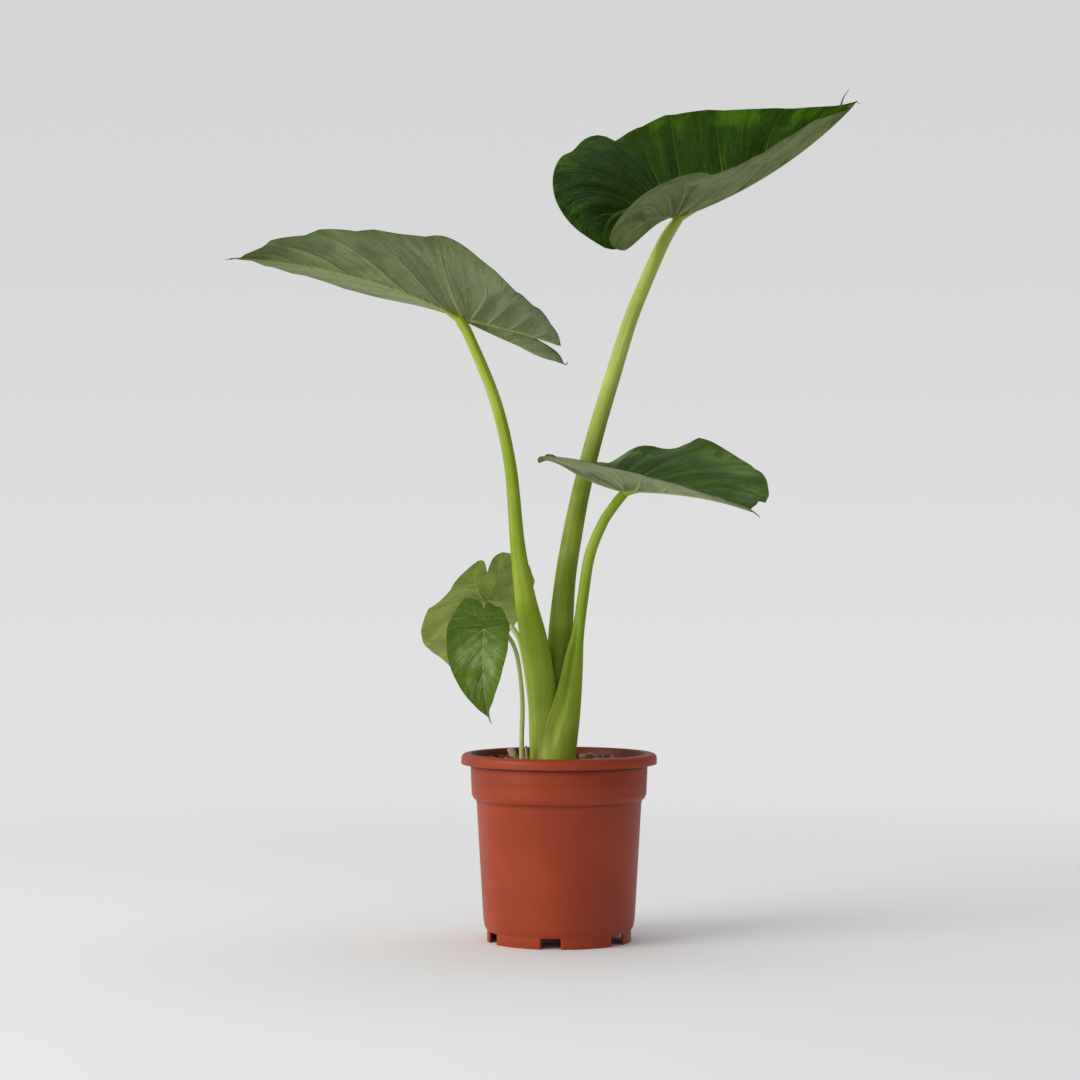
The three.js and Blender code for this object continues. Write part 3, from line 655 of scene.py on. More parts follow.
def add_panel(bm, leaf, side, panel, layers, thickness, puff):
    """One half of the blade, or its strip between lobe rib and sinus: a grid bent into place."""
    places = vein_lines(leaf)
    across = ACROSS_YOUNG if leaf.young else ACROSS
    if panel == "sinus":
        places = places[places >= np.searchsorted(leaf.veins[0], MIDRIB_SHARE)]
        across = ACROSS_SINUS
    columns, rows = len(places) - 1, len(across) - 1
    verts = bmesh.ops.create_grid(bm, x_segments=columns, y_segments=rows, size=0.5, calc_uvs=True)["verts"]
    column = np.rint([(v.co.x + 0.5) * columns for v in verts]).astype(int)
    row = np.rint([(v.co.y + 0.5) * rows for v in verts]).astype(int)
    vein_place, r = places[column], across[row]
    s = station_of(leaf, vein_place, r if panel == "outer" else 0 * r)
    if panel == "sinus":
        s = lobe_share(s)
    points = blade_points(leaf, side, panel, s, r, vein_place, puff)
    flat = to_flat_mm(leaf, flat_points(leaf, panel, s, r))
    values = panel_values(leaf, panel, s, r, vein_place, flat, thickness)
    for i, vert in enumerate(verts):
        vert.co = points[i] * MM
        vert.index = i
        for name, layer in layers.items():
            vert[layer] = values[name][i]
    uv, vein_uv = (bm.loops.layers.uv[name] for name in BLADE_MAPS)
    faces = list({face for vert in verts for face in vert.link_faces})
    for face in faces:
        for loop in face.loops:
            i = loop.vert.index
            loop[uv].uv = (flat[i, 0] * MM, side * flat[i, 1] * MM)
            loop[vein_uv].uv = (vein_place[i], r[i])
    if (side > 0) == (panel == "outer"):
        bmesh.ops.reverse_faces(bm, faces=faces)


def blade_mesh(leaf, thickness, puff):
    """The whole blade: its panels joined, then given their thickness along their normals."""
    bm = bmesh.new()
    layers = {name: bm.verts.layers.float.new(name) for name in KEPT_LAYERS + SCRATCH_LAYERS}
    for name in BLADE_MAPS:
        bm.loops.layers.uv.new(name)
    for side in (1, -1):
        for panel in ("outer", "sinus"):
            add_panel(bm, leaf, side, panel, layers, thickness, puff)
    bmesh.ops.remove_doubles(bm, verts=bm.verts, dist=0.03 * MM)
    bmesh.ops.dissolve_degenerate(bm, edges=bm.edges, dist=0.01 * MM)
    bm.normal_update()
    normals = bm.verts.layers.float_vector.new("blade_normal")
    for vert in bm.verts:
        vert[normals] = vert.normal
    under = list(bm.faces)
    extruded = bmesh.ops.extrude_face_region(bm, geom=under, use_keep_orig=True)["geom"]
    raised = {part for part in extruded if isinstance(part, bmesh.types.BMVert)}
    for vert in bm.verts:
        shift = vert[layers["above"]] if vert in raised else -vert[layers["below"]]
        vert.co += vert[normals] * (shift * MM)
    for face in extruded:
        if isinstance(face, bmesh.types.BMFace):
            face.material_index = 0
    for face in under:
        face.material_index = 1
    bmesh.ops.recalc_face_normals(bm, faces=bm.faces)
    shade_smooth(bm.faces)
    for name in SCRATCH_LAYERS:
        bm.verts.layers.float.remove(bm.verts.layers.float[name])
    bm.verts.layers.float_vector.remove(bm.verts.layers.float_vector["blade_normal"])
    return bm


def stalk_top(leaf):
    """Three stations more, where the stalk runs out into the midrib on the underside of the blade."""
    origin, _, up = midrib_frames(leaf, np.array([0.0, 0.035, 0.1]))
    radius = 1.9 * leaf.rib
    sizes = np.array([radius, 0.55 * radius, 0.22 * radius])
    drop = 0.35 + np.array([radius, 0.62 * radius, 0.3 * radius])
    centre = origin - up * drop[:, None]
    return [(*point, size, size) for point, size in zip(centre, sizes)]


# ------------------------------------------------------------------ materials


def add_node(tree, kind, inputs=(), output=0, **settings):
    """Adds one node. Its inputs, in order or by name, get values or sockets. Gives one of its outputs."""
    node = tree.nodes.new("ShaderNode" + kind)
    for name, value in settings.items():
        setattr(node, name, value)
    for name, value in inputs.items() if isinstance(inputs, dict) else enumerate(inputs):
        if isinstance(value, bpy.types.NodeSocket):
            tree.links.new(value, node.inputs[name])
        else:
            node.inputs[name].default_value = value
    return node.outputs[output] if node.outputs else None


def new_material(name, diffuse):
    """An empty material and what adds its nodes. diffuse is what the solid view shows."""
    material = bpy.data.materials.new(name)
    material.use_nodes = True
    material.node_tree.nodes.clear()
    material.diffuse_color = diffuse
    return material, partial(add_node, material.node_tree)


def darkened(colour, share):
    return tuple(share * c for c in colour[:3]) + (1.0,)


def scale_for(millimetres):
    """The scale of a texture whose biggest features are about that size."""
    return 1 / (millimetres * MM)


def product(add, *factors):
    """The product of numbers, sockets and smooth steps: a value, its start and end, and the step's there."""
    result = None
    for factor in factors:
        if isinstance(factor, tuple):
            factor = add("MapRange", factor, interpolation_type="SMOOTHSTEP")
        result = factor if result is None else add("Math", (result, factor), operation="MULTIPLY")
    return result


def layered(add, colour, *layers):
    """Lays further colours over the first. Each layer is its colour and the factors of its share."""
    for over, *factors in layers:
        colour = add("Mix", {0: product(add, *factors), 6: colour, 7: over}, 2, data_type="RGBA")
    return colour


def relief(add, *layers):
    """The normal of one relief on the other. Each layer is its height and its depth in millimetres."""
    inputs = {}
    for height, depth in layers:
        inputs["Normal"] = add("Bump", {"Height": height, "Distance": depth * MM, "Strength": 1.0, **inputs})
    return inputs["Normal"]


def blade_material(name, tones, gloss, seed=0, upper=False, young=False, lobes=None, right_half_sheen=None):
    """Living leaf tissue: patches and streaks between pale veins, with light coming through.

    The upper side shines under its cuticle, dark and nearly smooth. The underside is matt, with a bloom
    that pales it where it is seen at a low angle. tones are its base, its patches and its veins.
    """
    base, patch, vein = tones
    darker = darkened(base, 0.62)
    material, add = new_material(name, base)
    shift = add("Mapping", {"Vector": add("TexCoord", output="Object"), "Location": (seed, 0, 0)})
    flat = add("UVMap", uv_map="BladeMap")
    by_vein = add("UVMap", uv_map="VeinMap")
    vein_place = add("SeparateXYZ", (by_vein,))
    out = vein_place.node.outputs["Y"]
    gaps = (add("Attribute", output="Fac", attribute_name=layer) for layer in KEPT_LAYERS)
    vein_gap, rib_gap, edge_gap = gaps
    first_lobe_vein = FIRST_LOBE_VEIN[young]

    # Broad patches. On a grown leaf's upper side they are painted light, a glow towards the margin where the
    # thin blade lets light through; on a young leaf's upper side they are painted highlights, away from the
    # margin. On the underside they are tone that differs at random.
    broad = {"Vector": shift, "Scale": scale_for(34), "Detail": 2.0, "Roughness": 0.55, "Distortion": 0.6}
    broad = add("TexNoise", broad)
    by_margin = (edge_gap, 3, 14) if young else (edge_gap, 40, 6)
    colour = layered(add, base, (patch, (broad, 0.4, 0.66), by_margin if upper else 0.85))
    # Painted shade: a darker colour laid over the lobes, where the blade lies in shade.
    if lobes:
        start = first_lobe_vein - (1.0 if young else 2.5)
        colour = layered(add, colour, (linear(lobes), (vein_place, start, start + 1.8, 0.0, 0.85)))
    # Painted sheen: a lighter colour laid over the right half of the blade, which is seen at a low angle.
    if right_half_sheen:
        across = add("SeparateXYZ", (flat,), "Y")
        colour = layered(add, colour, (linear(right_half_sheen), (across, -0.002, -0.014, 0.0, 0.68)))

    # Painted shade: each panel between two side veins is darker behind the one nearer to the tip, as its
    # swelling shades it. Streaks run out in it.
    in_panel = add("Math", (vein_place,), operation="FRACT")
    stretched = add("Mapping", {"Vector": by_vein, "Scale": (5, 1.3, 1)})
    streaks = {"Vector": stretched, "Scale": scale_for(1000), "Detail": 5.0, "Roughness": 0.62}
    streaks = add("TexNoise", {**streaks, "Distortion": 0.5})
    streak_depth = 0.75 if upper else (0.3 if young else 0.6)
    fine = add("TexNoise", {"Vector": flat, "Scale": scale_for(5), "Detail": 5.0, "Roughness": 0.6})
    colour = layered(
        add,
        colour,
        (darker, (in_panel, 0.02, 0.6, 1.0, 0.0), (broad, 0.3, 0.6, 0.2, 0.5 if upper else 1.0)),
        (darker, (streaks, 0.42, 0.72, 0.0, streak_depth)),
        (patch if upper else vein, (streaks, 0.46, 0.28, 0.0, 0.3)),
        (darker, (fine, 0.35, 0.75, 0.0, 0.4)),
    )

    # The net of fine veins, about 3 mm apart, inside a net of wider cells.
    wide_cells, cells = (
        add(
            "TexVoronoi",
            {"Vector": flat, "Scale": scale_for(size), "Randomness": 0.95},
            "Distance",
            feature="DISTANCE_TO_EDGE",
        )
        for size in (7 if young else 11, 3.2)
    )
    net = (product(add, (wide_cells, 0.05, 0.0)), product(add, (cells, 0.09, 0.0, 0.0, 0.6)))
    net = add("Math", net, operation="MAXIMUM")

    # Side veins with dark edges that are painted shade beside them, faint on the lobes, then the midrib with
    # the lobe ribs, and the rim.
    tapered_gap = add("Math", (vein_gap, product(add, (out, 0.0, 0.7, 0.6, 1.5))), operation="MULTIPLY")
    side_vein = product(add, (tapered_gap, 0.7 if upper else 1.2, 0.2))
    painted_vein_shade = add("Math", (product(add, (tapered_gap, 3.6, 1.1)), side_vein), operation="SUBTRACT")
    strong = (0.3 if upper else 0.75) if young else (0.5 if upper else 0.95)
    on_lobes = (vein_place, first_lobe_vein + 0.3, first_lobe_vein + 1.5, 1.0, 0.4)
    faded = product(add, (out, 0.05, 0.7, strong, 0.4 * strong), on_lobes)
    midrib = (rib_gap, 1.0 if young else 2.0, 0.4 if young else 0.8)
    along = (vein_place, first_lobe_vein, first_lobe_vein + 1.0, 1.0, 0.2 if young and upper else 0.8)
    colour = layered(
        add,
        colour,
        (vein, net, 0.06 if upper else 0.26),
        (darker, painted_vein_shade, 0.25 if upper else 0.6),
        (vein, side_vein, faded),
        (vein, midrib, along, 0.5 if upper else 0.9),
        (linear("#3F5A1C"), (edge_gap, 0.9, 0.3), 0.6),
    )

    # Relief: the nets lie low on the upper side and stand up on the underside.
    blister = (product(add, (cells, 0.0, 0.35)), product(add, (wide_cells, 0.0, 0.25, 0.0, 2.0)))
    blister = product(add, add("Math", blister, operation="ADD"), 0.12 if upper else -0.12)
    waves = add("TexNoise", {"Vector": flat, "Scale": scale_for(16), "Detail": 2.0})
    normal = relief(
        add,
        (add("Math", (blister, fine), operation="ADD"), 0.4),
        (waves, 1.5 if upper else 3.0),
        (streaks, 2.6 if young else 4.4),
    )
    skin = {
        "Base Color": colour,
        "Roughness": product(add, (fine, 0.3, 0.7, 0.32, 0.42)) if upper else 0.6,
        "IOR": 1.42,
        "Specular IOR Level": gloss,
        "Sheen Weight": 0.0 if upper else (0.05 if young else 0.14),
        "Sheen Roughness": 0.55,
        "Sheen Tint": linear("#E9EDDC"),
        "Normal": normal,
    }
    through = layered(add, colour, (linear("#A4C81C"), 0.7))
    lit = add("BsdfTranslucent", {"Color": through, "Normal": normal})
    thick, thin = (0.32, 0.44) if young else (0.12, 0.32)
    share = product(add, (edge_gap, 30, 3, thick, thin))
    add("OutputMaterial", {"Surface": add("MixShader", (share, add("BsdfPrincipled", skin), lit))})
    return material


def stalk_material(name, base, pale, top):
    """A living leaf stalk under its wax: a soft satin green with fine lengthwise streaks.

    It is paler towards the soil, and lets a little light in. Its upper part, towards the blade, takes the
    colour top: painted light, where the stalk is lit more.
    """
    material, add = new_material(name, base)
    place = add("TexCoord", output="Object")
    flat = add("UVMap", uv_map="UVMap")
    stretched = add("Mapping", {"Vector": flat, "Scale": (1, 0.03, 1)})
    streaks = add("TexNoise", {"Vector": stretched, "Scale": scale_for(1.6), "Detail": 3.0, "Roughness": 0.6})
    broad = add("TexNoise", {"Vector": place, "Scale": scale_for(45), "Detail": 2.0})
    height = add("SeparateXYZ", (place,), "Z")
    colour = layered(
        add,
        base,
        # Painted light: the top colour laid over the upper part.
        (top, (height, 0.42, 0.58)),
        (darkened(base, 0.55), (streaks, 0.35, 0.75, 0.0, 0.45)),
        (pale, (broad, 0.4, 0.7, 0.0, 0.4)),
        (pale, (height, 0.235, 0.165, 0.0, 0.4)),
    )
    skin = {
        "Base Color": colour,
        "Roughness": product(add, (streaks, 0.3, 0.7, 0.34, 0.46)),
        "IOR": 1.42,
        "Specular IOR Level": 0.38,
        "Subsurface Weight": 0.08,
        "Subsurface Radius": (0.004, 0.006, 0.002),
        "Subsurface Scale": 1.0,
        "Normal": relief(add, (streaks, 0.18)),
    }
    add("OutputMaterial", {"Surface": add("BsdfPrincipled", skin)})
    return material


def mottled_material(name, base, dark, grain, roughness, depth, specular=0.3, stretch=(1, 1, 1)):
    """A dry plant surface: two tones in noise of one grain size, with relief, both in millimetres."""
    material, add = new_material(name, base)
    place = add("Mapping", {"Vector": add("TexCoord", output="Object"), "Scale": stretch})
    mottle = add("TexNoise", {"Vector": place, "Scale": scale_for(grain), "Detail": 5.0, "Roughness": 0.6})
    skin = {
        "Base Color": layered(add, base, (dark, (mottle, 0.3, 0.7))),
        "Roughness": roughness,
        "Specular IOR Level": specular,
        "Normal": relief(add, (mottle, depth)),
    }
    add("OutputMaterial", {"Surface": add("BsdfPrincipled", skin)})
    return material


# ------------------------------------------------------------------ operators


class ALOCASIA_OT_pot(bpy.types.Operator):
    """Builds the moulded nursery pot"""

    bl_idname = "alocasia.pot"
    bl_label = "Build the pot"

    def execute(self, context):
        settings = context.scene.alocasia_pot
        bm = bmesh.new()
        bm.loops.layers.uv.new("UVMap")
        start = math.radians(NOTCH_AZIMUTH - NOTCH_HALF_WIDTH)
        verts = []
        for r, z, _ in POT_PROFILE:
            verts.append(bm.verts.new((r * math.cos(start) * MM, r * math.sin(start) * MM, z * MM)))
        edges = [bm.edges.new(pair) for pair in zip(verts, verts[1:])]
        around = {"cent": (0, 0, 0), "axis": (0, 0, 1), "angle": 2 * math.pi, "steps": POT_SEGMENTS}
        bmesh.ops.spin(bm, geom=verts + edges, use_merge=True, **around)
        self.cut_notches(bm)
        self.add_base(bm, start)
        bmesh.ops.remove_doubles(bm, verts=bm.verts, dist=0.01 * MM)
        bmesh.ops.recalc_face_normals(bm, faces=bm.faces)
        self.round_edges(bm, settings.edge_rounding)
        shade_smooth(bm.faces)
        finished("nursery_pot", bm, [self.plastic(settings.plastic)], "pot_plastic", "pot")
        return {"FINISHED"}

    @staticmethod
    def cut_notches(bm):
        """Takes the notches out of the foot ring and closes their reveals."""
        low = []
        for face in bm.faces:
            middle = face.calc_center_median()
            azimuth = math.degrees(math.atan2(middle.y, middle.x))
            turned = (azimuth - NOTCH_AZIMUTH + NOTCH_HALF_WIDTH) % NOTCH_PITCH
            radius = math.hypot(middle.x, middle.y) / MM
            on_foot = FOOT_INNER - 0.5 < radius < FOOT_OUTER + 0.5 and middle.z < NOTCH_HEIGHT * MM
            if on_foot and turned < 2 * NOTCH_HALF_WIDTH:
                low.append(face)
        bmesh.ops.delete(bm, geom=low, context="FACES")
        top = (NOTCH_HEIGHT + 0.1) * MM
        rims = [edge for edge in bm.edges if edge.is_boundary and max(v.co.z for v in edge.verts) < top]
        foot_middle = (FOOT_INNER + FOOT_OUTER) / 2 * MM
        reveals = {}
        for edge in rims:
            inside = [math.hypot(v.co.x, v.co.y) < foot_middle for v in edge.verts]
            if inside[0] == inside[1]:
                middle = (edge.verts[0].co + edge.verts[1].co) / 2
                azimuth = math.degrees(math.atan2(middle.y, middle.x))
                number = (azimuth - NOTCH_AZIMUTH + NOTCH_PITCH / 2) % 360 // NOTCH_PITCH
                reveals.setdefault(number, []).append(edge)
        for group in reveals.values():
            bmesh.ops.bridge_loops(bm, edges=group)

    @staticmethod
    def add_base(bm, start):
        """The base plate with its drain holes, as two pierced discs joined through the holes."""
        turn = Matrix.Rotation(start, 4, "Z")
        discs = []
        for radius, z in (BASE_UNDER, BASE_TOP):
            place = Matrix.Translation((0, 0, z * MM)) @ turn
            circle = {"segments": POT_SEGMENTS, "radius": radius * MM, "matrix": place}
            rings = [bmesh.ops.create_circle(bm, **circle)["verts"]]
            for i in range(NOTCH_COUNT):
                angle = math.radians(NOTCH_AZIMUTH + NOTCH_PITCH * i)
                x, y = DRAIN_REACH * MM * math.cos(angle), DRAIN_REACH * MM * math.sin(angle)
                place = Matrix.Translation((x, y, z * MM))
                circle = {"segments": 24, "radius": DRAIN_RADIUS * MM, "matrix": place}
                rings.append(bmesh.ops.create_circle(bm, **circle)["verts"])
            loops = [{edge for vert in ring for edge in vert.link_edges} for ring in rings]
            bmesh.ops.triangle_fill(bm, use_beauty=True, edges=list(set().union(*loops)))
            discs.append(loops[1:])
        for lower, higher in zip(*discs):
            bmesh.ops.bridge_loops(bm, edges=list(lower | higher))

    @staticmethod
    def round_edges(bm, rounding):
        """Bevels the circular edges of the rim, the step and the foot."""
        corners = {(radius, height) for radius, height, rounded in POT_PROFILE if rounded}
        chosen = []
        for edge in bm.edges:
            a, b = (vert.co for vert in edge.verts)
            if abs(a.z - b.z) > 1e-5 or abs(math.hypot(a.x, a.y) - math.hypot(b.x, b.y)) > 1e-5:
                continue
            place = (round(math.hypot(a.x, a.y) / MM, 1), round(a.z / MM, 1))
            if place in corners and len(edge.link_faces) == 2:
                chosen.append(edge)
        bevel = {"affect": "EDGES", "segments": 2, "profile": 0.5, "material": -1}
        bmesh.ops.bevel(bm, geom=chosen, offset=0.45 * rounding, **bevel)

    @staticmethod
    def plastic(colour):
        """Satin polypropylene from a mould: even colour, fine spark-eroded grain, faint sink marks."""
        material, add = new_material("Polypropylene, injection moulded", colour)
        place = add("TexCoord", output="Object")
        broad = add("TexNoise", {"Vector": place, "Scale": scale_for(60), "Detail": 2.0})
        grain = add("TexNoise", {"Vector": place, "Scale": scale_for(0.7), "Detail": 2.0})
        sinks = add("TexNoise", {"Vector": place, "Scale": scale_for(18), "Detail": 1.0})

        # Painted shade: the wall inside above the bed, and the corners under the rim and the neck, are
        # darkened where shade falls there.
        height = add("SeparateXYZ", (place,), "Z")
        across = add("Mapping", {"Vector": place, "Scale": (1, 1, 0)})
        reach = add("VectorMath", (across,), "Value", operation="LENGTH")
        inside = product(add, (reach, 0.0858, 0.0850), (height, 0.15, 0.16))
        under_rim = product(add, (height, 0.1675, 0.1710), (height, 0.1722, 0.1716))
        under_neck = product(add, (height, 0.1330, 0.1368), (height, 0.1380, 0.1372))
        corners = add("Math", (under_neck, 0.5, under_rim), operation="MULTIPLY_ADD")
        painted_shade = add("Math", (inside, 0.7, corners), operation="MULTIPLY_ADD")
        painted_shade = add("Math", (painted_shade, 0.85), operation="MINIMUM")
        layers = ((darkened(colour, 0.86), (broad, 0.35, 0.65)), (linear("#571D0C"), painted_shade))
        skin = {
            "Base Color": layered(add, colour, *layers),
            "Roughness": product(add, (grain, 0.3, 0.7, 0.4, 0.47)),
            "IOR": 1.49,
            "Specular IOR Level": 0.28,
            "Normal": relief(add, (grain, 0.05), (sinks, 0.12)),
        }
        add("OutputMaterial", {"Surface": add("BsdfPrincipled", skin)})
        return material


class ALOCASIA_OT_soil(bpy.types.Operator):
    """Builds the bark soil with its loose chips and fibres"""

    bl_idname = "alocasia.soil"
    bl_label = "Build the soil"

    def execute(self, context):
        settings = context.scene.alocasia_pot
        chance = random.Random(11)
        bm = bmesh.new()
        tone = bm.verts.layers.float.new("tone")
        bm.loops.layers.uv.new("UVMap")
        self.add_bed(bm, chance, tone)
        block = self.chip_block()
        for _ in range(settings.bark_chips):
            self.add_chip(bm, chance, tone, block)
        bpy.data.meshes.remove(block)
        bmesh.ops.recalc_face_normals(bm, faces=bm.faces)
        for i in range(FIBRES):
            self.add_fibre(bm, chance, i % 2 == 0)
        materials = [self.bark(settings.bark), self.fibre_material()]
        finished("bark_soil", bm, materials, "bark_soil", "soil")
        return {"FINISHED"}

    def add_bed(self, bm, chance, tone):
        """The filling of the pot: a lumpy bed whose outer part hangs down inside the pot's wall."""
        bed = bmesh.ops.create_grid(bm, x_segments=90, y_segments=90, size=1.0, calc_uvs=True)["verts"]
        lumps = []
        for _ in range(LUMPS):
            spot = self.spot(chance, SOIL_RADIUS - 4)
            lumps.append((*spot, lerp(5, 12, chance.random()), lerp(2, 6, chance.random())))
        top_share = 0.82
        shares = (0, 0.25, 0.45, 1)
        for vert in bed:
            x, y = self.to_disc(vert.co.x, vert.co.y)
            reach = max(math.hypot(x, y), 1e-6)
            down = max(0, (reach - top_share) / (1 - top_share))
            radius = SOIL_RADIUS * reach / top_share
            height = SOIL_LEVEL - 1.5
            if down > 0:
                radius = np.interp(down, shares, (SOIL_RADIUS - 0.5, 82.5, 77, 70))
                height = np.interp(down, shares, (SOIL_LEVEL - 2, 150, 132, 22))
            x, y = x * radius / reach, y * radius / reach
            if down == 0:
                height += self.lump_height(lumps, x, y)
            vert.co = (x * MM, y * MM, height * MM)
            vert[tone] = 0.3
        bmesh.ops.holes_fill(bm, edges=[edge for edge in bm.edges if edge.is_boundary], sides=0)

    @staticmethod
    def lump_height(lumps, x, y):
        height = 0
        for lump_x, lump_y, radius, rise in lumps:
            gap = ((x - lump_x) ** 2 + (y - lump_y) ** 2) / radius**2
            if gap < 1:
                height = max(height, rise * math.sqrt(1 - gap))
        return height

    @staticmethod
    def spot(chance, radius):
        angle = 2 * math.pi * chance.random()
        distance = radius * math.sqrt(chance.random())
        return distance * math.cos(angle), distance * math.sin(angle)

    @staticmethod
    def to_disc(x, y):
        """A point of the square grid moved to the round bed."""
        if abs(x) > abs(y):
            return x * math.cos(math.pi / 4 * y / x), x * math.sin(math.pi / 4 * y / x)
        if y == 0:
            return 0.0, 0.0
        return y * math.sin(math.pi / 4 * x / y), y * math.cos(math.pi / 4 * x / y)

    @staticmethod
    def chip_block():
        """A worn block one unit in size, which every bark chip starts from."""
        bm = bmesh.new()
        bmesh.ops.create_cube(bm, size=1.0)
        bmesh.ops.subdivide_edges(bm, edges=bm.edges, cuts=1, use_grid_fill=True)
        for vert in bm.verts:
            vert.co = vert.co.lerp(vert.co.normalized() * 0.62, 0.45)
        block = bpy.data.meshes.new("Bark block")
        bm.to_mesh(block)
        bm.free()
        return block

    def add_chip(self, bm, chance, tone, block):
        """One angular bark chip of a few dozen faces, tossed on the bed beside the stalks."""
        x, y = self.spot(chance, SOIL_RADIUS - 7)
        if math.hypot(x - STALKS_MIDDLE, y) < 27:
            return
        length = lerp(5, 15, chance.random() ** 1.6)
        size = (length, lerp(3, 8, chance.random()), lerp(1.2, 3.6, chance.random()))
        turn = Matrix.Rotation(2 * math.pi * chance.random(), 4, "Z")
        tilt = Matrix.Rotation(chance.gauss(0, 0.35), 4, "X") @ Matrix.Rotation(chance.gauss(0, 0.28), 4, "Y")
        height = SOIL_LEVEL + lerp(0.5, 5.5, chance.random())
        place = Matrix.Translation((x * MM, y * MM, height * MM)) @ turn @ tilt
        before = len(bm.verts)
        bm.from_mesh(block)
        bm.verts.ensure_lookup_table()
        shade = chance.random()
        for vert in bm.verts[before:]:
            vert.co = [c * size[k] * MM * (1 + chance.uniform(-0.2, 0.2)) for k, c in enumerate(vert.co)]
            vert.co = place @ vert.co
            vert[tone] = shade

    def add_fibre(self, bm, chance, gathered):
        """One thin curled root or fibre across the bark. Half of them gathered at the back right."""
        x, y = self.spot(chance, SOIL_RADIUS - 10)
        if gathered:
            x, y = 46 + 0.4 * x, 38 + 0.45 * y
        if math.hypot(x - STALKS_MIDDLE, y) < 30:
            return
        heading = 2 * math.pi * chance.random()
        stations = []
        length = lerp(10, 26, chance.random())
        radius = lerp(0.18, 0.45, chance.random())
        for _ in range(5):
            lift = chance.uniform(-2, 2.5) if gathered else chance.uniform(-2, 3)
            stations.append((x, y, SOIL_LEVEL + 4 + lift, radius, radius))
            heading += chance.gauss(0, 0.5)
            x += length / 4 * math.cos(heading)
            y += length / 4 * math.sin(heading)
        if max(math.hypot(*station[:2]) for station in stations) < SOIL_RADIUS - 4:
            add_stem(bm, stations, 5, 8, 1)

    @staticmethod
    def bark(colour):
        """Composted pine bark: each chip its own brown, fine woody grain, dusty and matt."""
        dark = darkened(colour, 0.4)
        material, add = new_material("Pine bark, composted", colour)
        place = add("TexCoord", output="Object")
        tone = add("Attribute", output="Fac", attribute_name="tone")
        grain = add("TexNoise", {"Vector": place, "Scale": scale_for(2.2), "Detail": 5.0, "Roughness": 0.65})
        brown = layered(
            add,
            dark,
            (colour, (tone, 0.1, 0.9)),
            (linear("#C4A478"), (tone, 0.7, 0.86, 0.0, 0.8)),
            (dark, (grain, 0.45, 0.7, 0.0, 0.6)),
        )
        skin = {
            "Base Color": brown,
            "Roughness": 0.86,
            "Specular IOR Level": 0.25,
            "Normal": relief(add, (grain, 0.8)),
        }
        add("OutputMaterial", {"Surface": add("BsdfPrincipled", skin)})
        return material

    @staticmethod
    def fibre_material():
        """Coir fibre and dead root: pale, dry and matt."""
        tones = (linear("#DDC296"), linear("#A98458"))
        return mottled_material("Coir fibre, dry", *tones, 3, roughness=0.8, depth=0.1, specular=0.25)


class ALOCASIA_OT_stalks(bpy.types.Operator):
    """Builds the five leaf stalks with their sheaths"""

    bl_idname = "alocasia.stalks"
    bl_label = "Build the leaf stalks"

    def execute(self, context):
        settings = context.scene.alocasia_leaf
        pale = linear("#B2C04E")
        # Each stalk's last colour paints light on its upper part. The tall stalk's darker base is painted
        # shade, where the other leaves shade it.
        grown = stalk_material("Leaf stalk skin, waxy", settings.stalk, pale, linear("#B0C03C"))
        tall = stalk_material("Tall leaf stalk skin, waxy", linear("#778E1B"), pale, linear("#D4E270"))
        slender = (settings.young_stalk, linear("#D8D9A8"), settings.young_stalk)
        young = stalk_material("Young leaf stalk skin, waxy", *slender)
        # The sheath's edge is a thin dead membrane: yellowish, dry and matt beside the waxy stalk.
        tones = (linear("#BFD064"), linear("#9DB246"))
        membrane = mottled_material("Sheath edge, papery", *tones, 4, roughness=0.6, depth=0.1)
        for name, stations in STALKS.items():
            leaf = LEAVES[name]
            bm = bmesh.new()
            bm.loops.layers.uv.new("UVMap")
            around, along = (20, 90) if leaf.young else (48, 170)
            add_stem(bm, [*stations, *stalk_top(leaf)], around, along, 0, self.swell(name))
            if name == "right":
                self.add_sheath_edge(bm)
            bmesh.ops.recalc_face_normals(bm, faces=bm.faces)
            materials = [young] if leaf.young else [tall if name == "tall" else grown, membrane]
            slot_name = "young_stalk" if leaf.young else "leaf_stalk"
            finished("leaf_stalk_" + name, bm, materials, slot_name, "petiole_" + name)
        return {"FINISHED"}

    @staticmethod
    def swell(name):
        """Faint ribs along the stalk, slow changes of its girth and the valley behind the sheath's edge."""
        depth = 0.05 * LEAVES[name].rib

        def extra(angle, z):
            ribs = depth * np.cos(7 * angle + 0.006 * z) + 1.2 * depth * np.sin(z / 17 + angle)
            if name != "right":
                return ribs
            low = np.clip((z - 176) / 26, 0, 1) * np.clip((318 - z) / 40, 0, 1)
            around = np.degrees(angle)
            place = np.interp(z, (180, 205, 232), (250, 232, 245))
            valley = np.interp(z, (215, 240), (3.6, 4.6)) * np.exp(-(((around - place) / 17) ** 2))
            wing = 1.0 + 2.6 * np.exp(-(((z - 214) / 26) ** 2))
            lip = wing * np.exp(-(((around - 200) / 12) ** 2))
            return ribs + low * (lip - valley)

        return extra

    def add_sheath_edge(self, bm):
        """The thin dry rim of the sheath, which runs up along its front edge."""
        heights = np.linspace(0, 1, 400)
        stations = np.array([*STALKS["right"], *stalk_top(LEAVES["right"])], float)
        rim = stem_points(stations, 0 * heights + 206 / 360, heights, self.swell("right"))
        chosen = rim[(rim[:, 2] > 174) & (rim[:, 2] < 246)][::6]
        radii = np.linspace(0.62, 0.3, len(chosen))
        wander = 0.35 * np.sin(np.arange(len(chosen)) * 1.7)
        path = [(x + w, y - 0.1, z, r, r) for (x, y, z), w, r in zip(chosen, wander, radii)]
        add_stem(bm, path, 6, 3 * len(path), 1)


